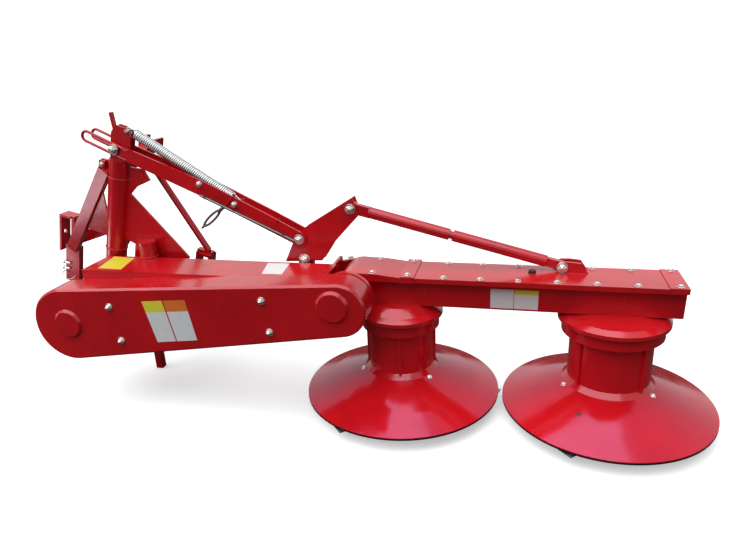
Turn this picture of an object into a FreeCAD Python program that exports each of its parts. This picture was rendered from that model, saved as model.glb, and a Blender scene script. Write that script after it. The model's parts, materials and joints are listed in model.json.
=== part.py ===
import FreeCAD, Part
import math
import os

import Sketcher
from FreeCAD import Placement, Rotation, Vector

# Drum mower with two drums, carried by a tractor's three-point hitch.
# +X runs along the mower bar to its outer end, +Y points forward, to the tractor, and +Z is up.
# The origin lies on the ground under the inner drum's axis. All sizes are in millimetres.

doc = FreeCAD.newDocument("DrumMower")
sheet = doc.addObject("Spreadsheet::Sheet", "Sizes")

# name, value, what it is
SIZES = [
    ("disc_room", 16, "room between the rims of the two discs"),
    ("bar_top", 563, "height of the lid's top"),
    ("bar_bottom", 440, "height of the gear beam's underside"),
    ("bar_beyond", 218, "length of the mower bar past the outer drum's axis"),
    ("bar_half_top", 68, "half width of the gear beam under its flange"),
    ("bar_half_bottom", 60, "half width of the gear beam at its bottom"),
    ("bar_wall", 8, "wall of the gear beam"),
    ("flange_half", 93, "half width of the gear beam's flange"),
    ("flange_thick", 8, "thickness of that flange"),
    ("lid_half", 98, "half width of the lid over its lips"),
    ("lid_thick", 8, "thickness of the lid"),
    ("lip_thick", 4, "thickness of the lid's lips"),
    ("lip_deep", 18, "depth of the lips"),
    ("strap_left", 20, "inner edge of the strap across the lid"),
    ("strap_wide", 52, "width of that strap"),
    ("strap_thick", 6, "thickness of that strap"),
    ("hinge_across", -165, "place of the bar's hinge axis along X"),
    ("hinge_over", 62, "from the gear beam's underside up to the bar's hinge axis"),
    ("end_round", 74, "radius of the bar's inner end about its hinge"),
    ("neck_round", 52, "radius of the input gearbox's neck"),
    ("trunnion_round", 38, "radius of the trunnions that turn in the ears"),
    ("ear_round", 104, "radius of the rear hinge ear"),
    ("ear_front_round", 66, "radius of the front hinge ear"),
    ("ear_thick", 18, "thickness of the hinge ears"),
    ("beam_left", -1272, "inner end of the main beam"),
    ("beam_right", -252, "outer end of the main beam"),
    ("beam_back", -180, "rear face of the main beam"),
    ("beam_bottom", 455, "height of the main beam's underside"),
    ("beam_top", 573, "height of the main beam's top"),
    ("beam_wall", 6, "wall of the main beam"),
    ("guard_deep", 113, "depth of the belt guard from the back plate"),
    ("guard_wall", 3, "wall of the belt guard"),
    ("guard_edge", 8, "width of the bevel round the belt guard's face"),
    ("guard_plate", 5, "thickness of the belt guard's back plate"),
    ("pulley_across", -1293, "place of the input shaft along X"),
    ("pulley_under", 76, "from the main beam's underside down to the input shaft"),
    ("guard_round", 151, "radius of the belt guard's inner end"),
    ("guard_small", 101, "radius of the belt guard's outer end"),
    ("dome_round", 62, "radius of the round bulges on the guard"),
    ("dome_high", 10, "height of those bulges"),
    ("housing_round", 55, "radius of the input bearing housing"),
    ("housing_front", 40, "front face of that housing"),
    ("web_wide", 45, "width of the two webs that carry the housing under the beam"),
    ("web_thick", 14, "thickness of those webs"),
    ("web_low", 10, "from the input shaft's axis up to the webs' lower edge"),
    ("shaft_round", 17.45, "radius of the input shaft's splined end"),
    ("shaft_front", 118, "front end of the input shaft"),
    ("shaft_seat", 22, "radius of the input shaft in its bearings"),
    ("mid_plane", 48, "middle plane of the lift linkage, along Y"),
    ("boom_gap", 27, "from the middle plane to the boom's side plates"),
    ("boom_thick", 8, "thickness of the boom's side plates"),
    ("crank_gap", 15, "from the middle plane to the crank plates"),
    ("crank_thick", 10, "thickness of the crank plates"),
    ("eye_half", 13, "half thickness of the eyes between two plates"),
    ("crank_across", -391, "place of the crank's pivot along X"),
    ("crank_over", 7, "from the main beam's top up to the crank's pivot"),
    ("rod_beside", 201, "from the crank's pivot to the rod's bolt along X"),
    ("rod_over", 210, "from the crank's pivot up to the rod's bolt"),
    ("boom_beside", -12, "from the crank's pivot to the boom's bolt along X"),
    ("boom_over", 87, "from the crank's pivot up to the boom's bolt"),
    ("clevis_across", 601, "place of the clevis pin on the bar"),
    ("clevis_over", 21, "height of the clevis pin above the lid"),
    ("pin_round", 11, "radius of the linkage pins"),
    ("pivot_round", 14, "radius of the crank's pivot pin"),
    ("eye_round", 26, "radius of the eyes of the lift rod"),
    ("tube_round", 22, "radius of the lift rod's tubes"),
    ("thread_round", 15, "radius of the thread between the tubes"),
    ("thread_long", 13, "length of that thread"),
    ("rod_seam", 403, "from the rod's bolt to the outer tube"),
    ("boom_waist", 390, "from the head pin to the boom's lowest rib"),
    ("boom_shoulder", 690, "from the head pin to where the boom narrows to its bolt"),
    ("lean", 13.8, "lean of the headstock post, in degrees"),
    ("foot_across", -1285, "place of the post's foot pin along X"),
    ("foot_up", 500, "height of the post's foot pin"),
    ("king_round", 30, "radius of the kingpin"),
    ("king_bottom", 48, "kingpin's lower end above the foot pin"),
    ("sleeve_round", 42.5, "radius of the post's sleeve and collars"),
    ("sleeve_bottom", 100, "sleeve's lower end above the foot pin"),
    ("sleeve_top", 420, "sleeve's upper end above the foot pin"),
    ("collar_high", 48, "height of the upper collar"),
    ("gusset_thick", 10, "thickness of the gusset plate"),
    ("stop_across", -1080, "place of the stop foot along X"),
    ("stop_round", 36, "radius of the stop foot"),
    ("stop_high", 68, "height of the stop foot over the main beam"),
    ("head_gap", 14, "from the middle plane to the head plates"),
    ("head_thick", 8, "thickness of the head plates"),
    ("head_across", -7, "place of the head pin from the post's axis"),
    ("head_up", 537, "height of the head pin above the foot pin"),
    ("side_half", 314, "from the post's axis to the side plates"),
    ("strut_in", 34, "from the post's axis to the right strut's upper end"),
    ("strut_up", 476, "height of that end over the foot pin"),
    ("strut_out", 42, "from the right side plate out to the strut's lower end"),
    ("side_front", 200, "place of the side plates along Y"),
    ("side_wide", 48, "width of the side plates"),
    ("side_thick", 16, "thickness of the side plates"),
    ("side_bottom", -209, "lower end of the side legs from the foot pin"),
    ("leg_wide", 70, "width of the side legs below their plates"),
    ("bar_wide", 50, "width of the left leg's leaning bar"),
    ("bar_deep", 32, "depth of that bar"),
    ("hitch_up", 30, "height of the lower hitch bores above the foot pin"),
    ("hitch_bore", 11.05, "radius of the lower hitch bores"),
    ("hitch_stagger", 12, "how far the right hitch bores stand ahead of the left ones"),
    ("cheek_gap", 46, "free width between side plate and outer cheek"),
    ("cheek_thick", 10, "thickness of the outer cheeks"),
    ("arm_wide", 50, "width of the arms from the lower collar to the side plates"),
    ("arm_thick", 12, "thickness of those arms"),
    ("arm_top", 192, "height of the arms' middle at the post"),
    ("arm_low", -6, "height of the arms' middle at the side plates"),
    ("link_up", 525, "height of the top link bore above the foot pin"),
    ("link_front", 290, "place of the top link bore along Y"),
    ("link_bore", 9.75, "radius of the top link bore"),
    ("link_gap", 26, "half width between the top link ears"),
    ("disc_round", 387, "radius of a drum's disc"),
    ("disc_up", 60, "height of the disc's rim"),
    ("disc_wall", 6, "wall of disc and drum"),
    ("inner_round", 128, "radius of the inner drum's cylinder"),
    ("outer_round", 148, "radius of the outer drum's cylinder"),
    ("foot_round_extra", 18, "how much wider the drum's foot is than its cylinder"),
    ("foot_lap", 34, "how far the disc reaches in under the drum's foot"),
    ("drum_foot", 158, "height of the drum's foot"),
    ("spindle_round", 30, "radius of a drum's spindle"),
    ("rib_deep", 9, "how far a drum's ribs stand out"),
    ("rib_wide", 10, "width of a drum's ribs"),
    ("knife_inset", 38, "from a disc's rim in to the knives' pivots"),
    ("knife_swing", 77, "how far a resting knife is swung back from its spoke, in degrees"),
    ("knife_long", 85, "length of a knife from its pivot"),
    ("knife_wide", 46, "width of a knife"),
    ("knife_thick", 4, "thickness of a knife"),
    ("skid_round", 300, "radius of a skid dish"),
    ("skid_flat", 190, "radius of the skid dish's flat bottom"),
    ("skid_rise", 30, "height of the skid dish's rim"),
    ("skid_wall", 5, "wall of the skid dish"),
    ("stand_across", -1170, "place of the parking stand along X"),
    ("stand_front", 80, "place of the parking stand along Y"),
    ("stand_wide", 32, "width of the parking stand"),
    ("stand_up", 470, "height of the parking stand's pin"),
    ("fit", 0.05, "radial clearance of a pin in its hole"),
    ("eye_play", 3, "radial play of the lift rod's eye on the crank's pin"),
    ("gap", 0.3, "gap between pieces that slide on each other"),
]


class Size:
    """A length and the text that binds it to the sheet, kept together through plain arithmetic."""

    def __init__(self, value, text):
        self.value = value
        self.text = text

    def join(self, other, sign, value):
        text = other.text if isinstance(other, Size) else repr(other)
        return Size(value, f"({self.text} {sign} {text})")

    def __add__(self, other):
        return self.join(other, "+", self.value + number(other))

    def __sub__(self, other):
        return self.join(other, "-", self.value - number(other))

    def __mul__(self, other):
        return self.join(other, "*", self.value * number(other))

    def __truediv__(self, other):
        return self.join(other, "/", self.value / number(other))

    def __neg__(self):
        return self * -1

    def __rsub__(self, other):
        return -self + other

    __radd__ = __add__
    __rmul__ = __mul__


def number(size):
    return size.value if isinstance(size, Size) else size


def text(size):
    return size.text if isinstance(size, Size) else repr(size)


class Sizes:
    """The sheet's cells by name."""


S = Sizes()
for row, (name, amount, meaning) in enumerate(SIZES, start=1):
    sheet.set(f"A{row}", name)
    sheet.set(f"B{row}", str(amount))
    sheet.set(f"C{row}", meaning)
    sheet.setAlias(f"B{row}", name)
    setattr(S, name, Size(float(amount), f"Sizes.{name}"))
doc.recompute()

# Places that follow from others.
S.drum_pitch = S.disc_round * 2 + S.disc_room
S.bar_right = S.drum_pitch + S.bar_beyond
S.knife_root = S.disc_round - S.knife_inset
S.hinge_up = S.bar_bottom + S.hinge_over
S.pulley_up = S.beam_bottom - S.pulley_under
S.crank_up = S.beam_top + S.crank_over
S.rod_across, S.rod_up = S.crank_across + S.rod_beside, S.crank_up + S.rod_over
S.boom_across, S.boom_up = S.crank_across + S.boom_beside, S.crank_up + S.boom_over
S.clevis_up = S.bar_top + S.clevis_over

made = []


def bind(thing, prop, size):
    """Set a property from the sheet."""
    if isinstance(size, Size):
        thing.setExpression(prop, size.text)
    else:
        setattr_path(thing, prop, size)


def setattr_path(thing, prop, value):
    if prop.startswith("Placement.Base."):
        base = thing.Placement.Base
        setattr(base, prop[-1], value)
        thing.Placement.Base = base
    else:
        setattr(thing, prop, value)


def fresh(kind, name):
    """A new object whose inner name is free of clashes."""
    return doc.addObject(kind, name)


def box(name, x0, x1, y0, y1, z0, z1):
    """A block between two corners."""
    block = fresh("Part::Box", name)
    bind(block, "Length", x1 - x0)
    bind(block, "Width", y1 - y0)
    bind(block, "Height", z1 - z0)
    for axis, start in (("x", x0), ("y", y0), ("z", z0)):
        bind(block, f"Placement.Base.{axis}", start)
    return block


TURN = {
    "x": Rotation(Vector(0, 1, 0), 90),
    "y": Rotation(Vector(1, 0, 0), -90),
    "z": Rotation(),
}


def rod(name, radius, axis, start, end, across, along):
    """A round bar along an axis: its other two places come in the order of the axes."""
    bar = fresh("Part::Cylinder", name)
    bind(bar, "Radius", radius)
    bind(bar, "Height", end - start)
    bar.Placement = Placement(Vector(), TURN[axis])
    rest = [one for one in "xyz" if one != axis]
    for letter, place in ((axis, start), (rest[0], across), (rest[1], along)):
        bind(bar, f"Placement.Base.{letter}", place)
    return bar


def cut(name, base, tool):
    piece = fresh("Part::Cut", name)
    piece.Base = base
    piece.Tool = tool
    return piece


def fuse(name, pieces):
    piece = fresh("Part::MultiFuse", name)
    piece.Shapes = pieces
    piece.Refine = True
    return piece


def group(name, pieces):
    """Like solids that don't touch, kept in one sub-part."""
    piece = fresh("Part::Compound", name)
    piece.Links = pieces
    return piece


def holes(name, base, tools):
    tool = tools[0] if len(tools) == 1 else group(f"{name}_tools", tools)
    return cut(name, base, tool)


def origin_part(body, role):
    return next(one for one in body.Origin.OriginFeatures if one.Role == role)


def sketch_on(body, role, name):
    sketch = body.newObject("Sketcher::SketchObject", name)
    sketch.AttachmentSupport = [(origin_part(body, role), "")]
    sketch.MapMode = "FlatFace"
    return sketch


def pin_point(sketch, geometry, end, across, up):
    """Hold a sketch point at two distances from the origin, both bound to the sheet."""
    for kind, size in (("DistanceX", across), ("DistanceY", up)):
        index = sketch.addConstraint(Sketcher.Constraint(kind, -1, 1, geometry, end, number(size)))
        if isinstance(size, Size):
            sketch.setExpression(f"Constraints[{index}]", size.text)


def draw_outline(sketch, points):
    """A closed outline of straight lines through the points."""
    spots = [Vector(number(across), number(up), 0) for across, up in points]
    count = len(points)
    for index in range(count):
        sketch.addGeometry(Part.LineSegment(spots[index], spots[(index + 1) % count]), False)
    for index in range(count):
        sketch.addConstraint(Sketcher.Constraint("Coincident", index, 2, (index + 1) % count, 1))
    for index, (across, up) in enumerate(points):
        pin_point(sketch, index, 1, across, up)


def draw_circle(sketch, across, up, radius):
    place = Vector(number(across), number(up), 0)
    circle = sketch.addGeometry(Part.Circle(place, Vector(0, 0, 1), number(radius)), False)
    pin_point(sketch, circle, 3, across, up)
    index = sketch.addConstraint(Sketcher.Constraint("Radius", circle, number(radius)))
    if isinstance(radius, Size):
        sketch.setExpression(f"Constraints[{index}]", radius.text)


def pad_from(body, sketch, thick, name):
    pad = body.newObject("PartDesign::Pad", name)
    pad.Profile = sketch
    bind(pad, "Length", thick)
    return pad


def plate(name, points, back, thick, lobes=(), bores=()):
    """A plate normal to Y from its outline in X and Z, with round lobes and bores; back is its rear face."""
    body = fresh("PartDesign::Body", name)
    sketch = sketch_on(body, "XZ_Plane", f"{name}_outline")
    draw_outline(sketch, points)
    pad_from(body, sketch, thick, f"{name}_pad")
    for count, (across, up, radius) in enumerate(lobes):
        lobe = sketch_on(body, "XZ_Plane", f"{name}_lobe{count}")
        draw_circle(lobe, across, up, radius)
        pad_from(body, lobe, thick, f"{name}_lobe_pad{count}")
    for count, (across, up, radius) in enumerate(bores):
        bore = sketch_on(body, "XZ_Plane", f"{name}_bore{count}")
        draw_circle(bore, across, up, radius)
        pocket = body.newObject("PartDesign::Pocket", f"{name}_pocket{count}")
        pocket.Profile = bore
        pocket.Type = "ThroughAll"
        pocket.Midplane = True
    bind(body, "Placement.Base.y", back + thick)
    return body


def turned(name, points, across):
    """A piece turned about a vertical axis, from its half outline of radius and height."""
    body = fresh("PartDesign::Body", name)
    sketch = sketch_on(body, "XZ_Plane", f"{name}_half")
    draw_outline(sketch, points)
    turn = body.newObject("PartDesign::Revolution", f"{name}_turn")
    turn.Profile = sketch
    turn.ReferenceAxis = (sketch, ["V_Axis"])
    turn.Angle = 360
    bind(body, "Placement.Base.x", across)
    return body


def bar_between(name, start, end, radius):
    """A round bar between two points."""
    first = Vector(*[number(one) for one in start])
    last = Vector(*[number(one) for one in end])
    bar = fresh("Part::Cylinder", name)
    bind(bar, "Radius", radius)
    bar.Height = (last - first).Length
    bar.Placement = Placement(first, Rotation(Vector(0, 0, 1), last - first))
    return bar


def keep(piece, name, frame=None):
    """Name a finished sub-part, and stand it in a leaning frame where one is given."""
    piece.Label = name
    made.append((piece, name, frame))
    return piece


def tilt(across, up, degrees):
    """A frame at a pin in the linkage plane, turned about Y."""
    return Placement(Vector(number(across), 0, number(up)), Rotation(Vector(0, 1, 0), degrees))


def slope(start, end):
    """Fall of a line in the linkage plane, in degrees."""
    return math.degrees(math.atan2(number(start[1]) - number(end[1]), number(end[0]) - number(start[0])))


def apart(start, end):
    return math.hypot(number(start[0]) - number(end[0]), number(start[1]) - number(end[1]))


def extruded(name, points, start, long):
    """A profile in Y and Z, carried along X."""
    body = fresh("PartDesign::Body", name)
    sketch = sketch_on(body, "YZ_Plane", f"{name}_section")
    draw_outline(sketch, points)
    pad_from(body, sketch, long, f"{name}_pad")
    bind(body, "Placement.Base.x", start)
    return body


def tapered(name, first, second, back, thick, draft=0):
    """A plate normal to Y whose outline is two arcs joined by their common tangents."""
    (x1, z1, r1), (x2, z2, r2) = [[number(one) for one in end] for end in (first, second)]
    along = math.atan2(z2 - z1, x2 - x1)
    spread = math.acos((r1 - r2) / math.hypot(x2 - x1, z2 - z1))
    body = fresh("PartDesign::Body", name)
    sketch = sketch_on(body, "XZ_Plane", f"{name}_outline")
    up, down = along + spread, along - spread
    ends = []
    for x, z, radius, start, stop in ((x1, z1, r1, up, down + 2 * math.pi), (x2, z2, r2, down, up)):
        circle = Part.Circle(Vector(x, z, 0), Vector(0, 0, 1), radius)
        sketch.addGeometry(Part.ArcOfCircle(circle, start, stop), False)
        ends.append([Vector(x + radius * math.cos(turn), z + radius * math.sin(turn), 0) for turn in (up, down)])
    sketch.addGeometry(Part.LineSegment(ends[0][1], ends[1][1]), False)
    sketch.addGeometry(Part.LineSegment(ends[1][0], ends[0][0]), False)
    for one, end, other, start in ((0, 2, 2, 1), (2, 2, 1, 1), (1, 2, 3, 1), (3, 2, 0, 1)):
        sketch.addConstraint(Sketcher.Constraint("Tangent", one, end, other, start))
    for arc, (across, height, radius) in enumerate((first, second)):
        pin_point(sketch, arc, 3, across, height)
        index = sketch.addConstraint(Sketcher.Constraint("Radius", arc, number(radius)))
        if isinstance(radius, Size):
            sketch.setExpression(f"Constraints[{index}]", radius.text)
    pad = pad_from(body, sketch, thick, f"{name}_pad")
    pad.TaperAngle = -draft
    bind(body, "Placement.Base.y", back + thick)
    return body


def flat_frame(start, end):
    """A frame at a flat bar's start: X runs along it, Y across its width and Z out of its rear face."""
    first = Vector(*[number(one) for one in start])
    along = Vector(*[number(one) for one in end]) - first
    face = Vector(0, -1, 0)
    return Placement(first, Rotation(along, face.cross(along), face, "XZY")), along.Length


def flat_bar(name, start, end, wide, thick):
    """A flat bar between the middles of its two ends, its broad faces towards -Y and +Y."""
    frame, long = flat_frame(start, end)
    bar = fresh("Part::Box", name)
    bar.Length = long
    bind(bar, "Width", wide)
    bind(bar, "Height", thick)
    bar.Placement = frame * Placement(Vector(0, -number(wide) / 2, -number(thick) / 2), Rotation())
    return bar


def flat_web(name, start, end, points, thick):
    """A plate in the middle plane of a flat bar; its points run along and across the bar."""
    frame, _ = flat_frame(start, end)
    web = plate(name, points, -thick / 2, thick)
    web.Placement = frame * Placement(Vector(), Rotation(Vector(1, 0, 0), -90)) * web.Placement
    return web


# Places in the linkage plane that follow from the sheet.
LEAN = S.lean.value
POST = tilt(S.foot_across, S.foot_up, LEAN)
head_pin = POST.multVec(Vector(S.head_across.value, 0, S.head_up.value))
HEAD = (head_pin.x, head_pin.z)
CRANK_BOOM = (S.boom_across, S.boom_up)
CRANK_ROD = (S.rod_across, S.rod_up)
CLEVIS = (S.clevis_across, S.clevis_up)
BOOM_LONG = apart(HEAD, CRANK_BOOM)
BOOM = tilt(HEAD[0], HEAD[1], slope(HEAD, CRANK_BOOM))
ROD_LONG = apart(CRANK_ROD, CLEVIS)
ROD = tilt(S.rod_across, S.rod_up, slope(CRANK_ROD, CLEVIS))
PIN_HOLE = S.pin_round + S.fit


def main_frame():
    """Box beam with the hinge ears, crank bracket, post bracket and stand lug."""
    outer = box("beam_outer", S.beam_left, S.beam_right, S.beam_back, 0, S.beam_bottom, S.beam_top)
    wall = S.beam_wall
    hollow = box("beam_hollow", S.beam_left + wall, S.beam_right + 1, S.beam_back + wall, -wall,
                 S.beam_bottom + wall, S.beam_top - wall)
    keep(cut("beam", outer, hollow), "main_beam")

    bore = (S.hinge_across, S.hinge_up, S.trunnion_round + S.fit)
    rear = plate("ear_rear",
                 [(S.beam_right, S.beam_bottom), (S.hinge_across, S.hinge_up - S.ear_round),
                  (S.hinge_across, S.hinge_up + S.ear_round), (S.beam_right, S.beam_top)],
                 S.beam_back, S.ear_thick, [(S.hinge_across, S.hinge_up, S.ear_round)], [bore])
    beam_end = box("ear_rear_end", S.beam_right - S.ear_round, S.beam_right, S.beam_back - 1,
                   S.beam_back + S.ear_thick + 1, S.hinge_up - S.ear_round, S.hinge_up + S.ear_round)
    keep(cut("ear_rear_whole", rear, beam_end), "hinge_ear_rear")
    ear_back = S.lid_half + 6
    carrier_left = S.beam_right - 16
    carrier = box("ear_carrier", carrier_left, carrier_left + 12, 0, ear_back + 1, S.beam_bottom, S.beam_top)
    front = plate("ear_front",
                  [(carrier_left, S.beam_bottom), (S.hinge_across, S.hinge_up - S.ear_front_round),
                   (S.hinge_across, S.hinge_up + S.ear_front_round), (carrier_left, S.beam_top - 24)],
                  ear_back, S.ear_thick, [(S.hinge_across, S.hinge_up, S.ear_front_round)], [bore])
    keep(fuse("ear_front_whole", [carrier, front]), "hinge_ear_front")

    arm_low = S.beam_bottom + 15
    lug = plate("crank_lug",
                [(S.crank_across - 30, arm_low), (S.crank_across + 30, arm_low),
                 (S.crank_across + 30, S.crank_up), (S.crank_across - 30, S.crank_up)],
                S.mid_plane - S.eye_half, S.eye_half * 2, [(S.crank_across, S.crank_up, 30)],
                [(S.crank_across, S.crank_up, S.pivot_round + S.fit)])
    arm = box("crank_arm", S.crank_across - 30, S.crank_across + 30, 0, S.mid_plane - S.eye_half + 1,
              arm_low, arm_low + 60)
    keep(fuse("crank_bracket_whole", [lug, arm]), "crank_bracket")

    foot = (S.foot_across, S.foot_up)
    cheeks = []
    for side, back in (("near", 0), ("far", S.mid_plane + 36)):
        cheeks.append(plate(f"foot_cheek_{side}",
                            [(foot[0] - 40, S.foot_up - 53), (foot[0] + 40, S.foot_up - 53),
                             (foot[0] + 40, foot[1]), (foot[0] - 40, foot[1])],
                            back, 12, [(foot[0], foot[1], 40)],
                            [(foot[0], foot[1], S.pivot_round + S.fit)]))
    shelf = box("foot_shelf", foot[0] - 40, foot[0] + 40, 0, S.mid_plane + 48, S.foot_up - 61, S.foot_up - 53)
    keep(fuse("post_bracket_whole", cheeks + [shelf]), "post_bracket")
    keep(rod("foot_pin", S.pivot_round, "y", 1, S.mid_plane + 58, S.foot_across, S.foot_up), "post_pin")

    lug_front = S.stand_front - S.stand_wide / 2 - 2
    block = box("stand_block", S.stand_across - 22, S.stand_across + 22, 0, lug_front,
                S.stand_up - 15, S.stand_up + 22)
    pin = rod("stand_pin", 8, "y", lug_front - 5, S.stand_front + 26, S.stand_across, S.stand_up)
    washer = rod("stand_washer", 14, "y", S.stand_front + 18, S.stand_front + 24, S.stand_across, S.stand_up)
    keep(fuse("stand_lug_whole", [block, pin, washer]), "stand_lug")


def belt_drive():
    """Belt guard, its back plate, the input bearing housing and the input shaft."""
    face = S.beam_back - S.guard_plate - S.guard_deep
    ends = ((S.pulley_across, S.pulley_up, S.guard_round), (S.hinge_across, S.hinge_up, S.guard_small))
    inner_ends = [(across, up, radius - S.guard_wall) for across, up, radius in ends]
    side = tapered("guard_side", ends[0], ends[1], face + S.guard_edge, S.guard_deep - S.guard_edge)
    front = tapered("guard_front", ends[0], ends[1], face, S.guard_edge, draft=45)
    skin = fuse("guard_skin", [side, front])
    deep = face + S.guard_wall
    room = fuse("guard_room", [
        tapered("guard_room_side", inner_ends[0], inner_ends[1], deep + S.guard_edge, S.guard_deep),
        tapered("guard_room_front", inner_ends[0], inner_ends[1], deep, S.guard_edge, draft=45)])
    bulges = []
    places = ((S.pulley_across + 8, S.pulley_up + 7), (S.hinge_across - 19, S.hinge_up + 16))
    for index, (across, up) in enumerate(places):
        bulge = fresh("Part::Cone", f"bulge{index}")
        bind(bulge, "Radius1", S.dome_round)
        bind(bulge, "Radius2", S.dome_round - S.dome_high)
        bind(bulge, "Height", S.dome_high + 1)
        bulge.Placement = Placement(Vector(0, 0, 0), Rotation(Vector(1, 0, 0), 90))
        bind(bulge, "Placement.Base.x", across)
        bind(bulge, "Placement.Base.y", face + 1)
        bind(bulge, "Placement.Base.z", up)
        bulges.append(bulge)
    shell = fuse("guard_whole", [cut("guard_shell", skin, room)] + bulges)
    keep(shell, "belt_guard")
    back = tapered("guard_plate_blank", ends[0], ends[1], S.beam_back - S.guard_plate, S.guard_plate)
    hole = rod("guard_plate_hole", S.shaft_seat + 8, "y", S.beam_back - S.guard_plate - 5, S.beam_back + 5,
               S.pulley_across, S.pulley_up)
    keep(cut("guard_plate_whole", back, hole), "guard_back")

    barrel = rod("housing_barrel", S.housing_round, "y", S.beam_back, S.housing_front,
                 S.pulley_across, S.pulley_up)
    webs = [box(f"housing_web{index}", S.beam_left, S.beam_left + S.web_wide, start, start + S.web_thick,
                S.pulley_up + S.web_low, S.beam_bottom)
            for index, start in enumerate((S.beam_back + 10, S.beam_back + 150))]
    bore = rod("housing_bore", S.shaft_seat + S.gap, "y", S.beam_back - 1, S.housing_front + 1,
               S.pulley_across, S.pulley_up)
    keep(cut("housing_whole", fuse("housing_solid", [barrel] + webs), bore), "input_housing")

    seat = rod("shaft_seat", S.shaft_seat, "y", S.beam_back - S.guard_plate - 40, S.housing_front + 6,
               S.pulley_across, S.pulley_up)
    spline = rod("shaft_spline", S.shaft_round, "y", S.housing_front + 5, S.shaft_front,
                 S.pulley_across, S.pulley_up)
    keep(fuse("shaft_whole", [seat, spline]), "input_shaft")


def mower_bar():
    """Gear beam, lid, strap, end cap, input gearbox and clevis."""
    flange_up = S.bar_top - S.lid_thick
    under = flange_up - S.flange_thick
    section = [(-S.flange_half, flange_up), (-S.flange_half, under), (-S.bar_half_top, under),
               (-S.bar_half_bottom, S.bar_bottom), (S.bar_half_bottom, S.bar_bottom), (S.bar_half_top, under),
               (S.flange_half, under), (S.flange_half, flange_up)]
    wall = S.bar_wall
    room = [(-(S.bar_half_top - wall), flange_up + 1), (-(S.bar_half_bottom - wall), S.bar_bottom + wall),
            (S.bar_half_bottom - wall, S.bar_bottom + wall), (S.bar_half_top - wall, flange_up + 1)]
    cap_left = S.bar_right - 62
    trough = extruded("beam_trough", section, S.hinge_across, S.bar_right - wall - S.hinge_across)
    end = rod("beam_end", S.hinge_up - S.bar_bottom, "y", -S.bar_half_bottom, S.bar_half_bottom,
              S.hinge_across, S.hinge_up)
    hollow = extruded("beam_room", room, S.hinge_across + 75, S.bar_right - S.hinge_across - 75 - wall * 2)
    whole = cut("gear_beam_hollow", fuse("gear_beam_solid", [trough, end]), hollow)
    keep(whole, "gear_beam")
    solid = fuse("neck_seat", [trough, end])
    train = box("train_block", S.hinge_across + 80, S.bar_right - 90, -40, 40,
                S.bar_bottom + wall, S.bar_bottom + 80)
    keep(train, "gear_train")

    lip_low = S.bar_top - S.lip_deep
    crown = S.hinge_up + S.end_round
    outline = [(S.hinge_across, lip_low), (cap_left - 1, lip_low), (cap_left - 1, S.bar_top),
               (S.hinge_across + 180, S.bar_top), (S.hinge_across + 95, crown - 3), (S.hinge_across, crown)]
    thin = S.lid_thick
    inner = [(S.hinge_across, lip_low - 5), (cap_left, lip_low - 5), (cap_left, S.bar_top - thin),
             (S.hinge_across + 180, S.bar_top - thin), (S.hinge_across + 95, crown - 3 - thin),
             (S.hinge_across, crown - thin)]
    outside = plate("lid_outside", outline, -S.lid_half, S.lid_half * 2,
                    [(S.hinge_across, S.hinge_up, S.end_round)])
    inside = plate("lid_inside", inner, -(S.lid_half - S.lip_thick), (S.lid_half - S.lip_thick) * 2,
                   [(S.hinge_across, S.hinge_up, S.end_round - thin)])
    below = box("lid_below", S.hinge_across - S.end_round - 5, S.hinge_across + S.end_round + 5,
                -S.lid_half - 5, S.lid_half + 5, S.hinge_up - S.end_round - 5, S.hinge_up - 18)
    beside = box("lid_beside", S.hinge_across, S.hinge_across + S.end_round + 5, -S.lid_half - 5, S.lid_half + 5,
                 S.hinge_up - S.end_round - 5, lip_low)
    lid_holes = [inside, below, beside]
    for side, start in (("rear", -S.lid_half - 5), ("front", S.lid_half - 10)):
        lid_holes.append(rod(f"lid_neck_{side}", S.neck_round + 1, "y", start, start + 15,
                             S.hinge_across, S.hinge_up))
    keep(holes("lid", outside, lid_holes), "beam_lid")

    strap = box("strap_top", S.strap_left, S.strap_left + S.strap_wide, -S.lid_half, S.lid_half,
                S.bar_top, S.bar_top + S.strap_thick)
    tabs = [box(f"strap_tab{index}", S.strap_left, S.strap_left + S.strap_wide, start, start + 6,
                lip_low, S.bar_top + S.strap_thick)
            for index, start in enumerate((-S.lid_half - 6, S.lid_half))]
    keep(fuse("strap_whole", [strap] + tabs), "lid_strap")

    cap_outer = box("cap_outer", cap_left, S.bar_right, -S.lid_half, S.lid_half, lip_low, S.bar_top + 3)
    cap_inner = box("cap_inner", cap_left - 1, S.bar_right - wall, -(S.lid_half - S.lip_thick),
                    S.lid_half - S.lip_thick, lip_low - 1, flange_up)
    cap_end = extruded("cap_end", [(-S.bar_half_bottom, S.bar_bottom), (S.bar_half_bottom, S.bar_bottom),
                                   (S.bar_half_top, under), (-S.bar_half_top, under)],
                       S.bar_right - wall, wall)
    keep(fuse("cap_whole", [cut("cap_hood", cap_outer, cap_inner), cap_end]), "end_cap")

    ear_back = S.lid_half + 6
    neck_out = S.lid_half + 1
    parts = [rod("neck_rear", S.neck_round, "y", S.beam_back + S.ear_thick + 3, -S.bar_half_bottom,
                 S.hinge_across, S.hinge_up),
             rod("neck_front", S.neck_round, "y", S.bar_half_bottom, neck_out, S.hinge_across, S.hinge_up)]
    keep_parts = [fuse("neck_rear_whole", [parts[0], rod("trunnion_rear", S.trunnion_round, "y",
                                                          S.beam_back + 1, S.beam_back + S.ear_thick + 4,
                                                          S.hinge_across, S.hinge_up)]),
                  fuse("neck_front_whole", [parts[1], rod("trunnion_front", S.trunnion_round, "y", neck_out - 1,
                                                           ear_back + S.ear_thick + 4,
                                                           S.hinge_across, S.hinge_up)])]
    keep(cut("gearbox", group("gearbox_necks", keep_parts), solid), "input_gearbox")

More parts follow.
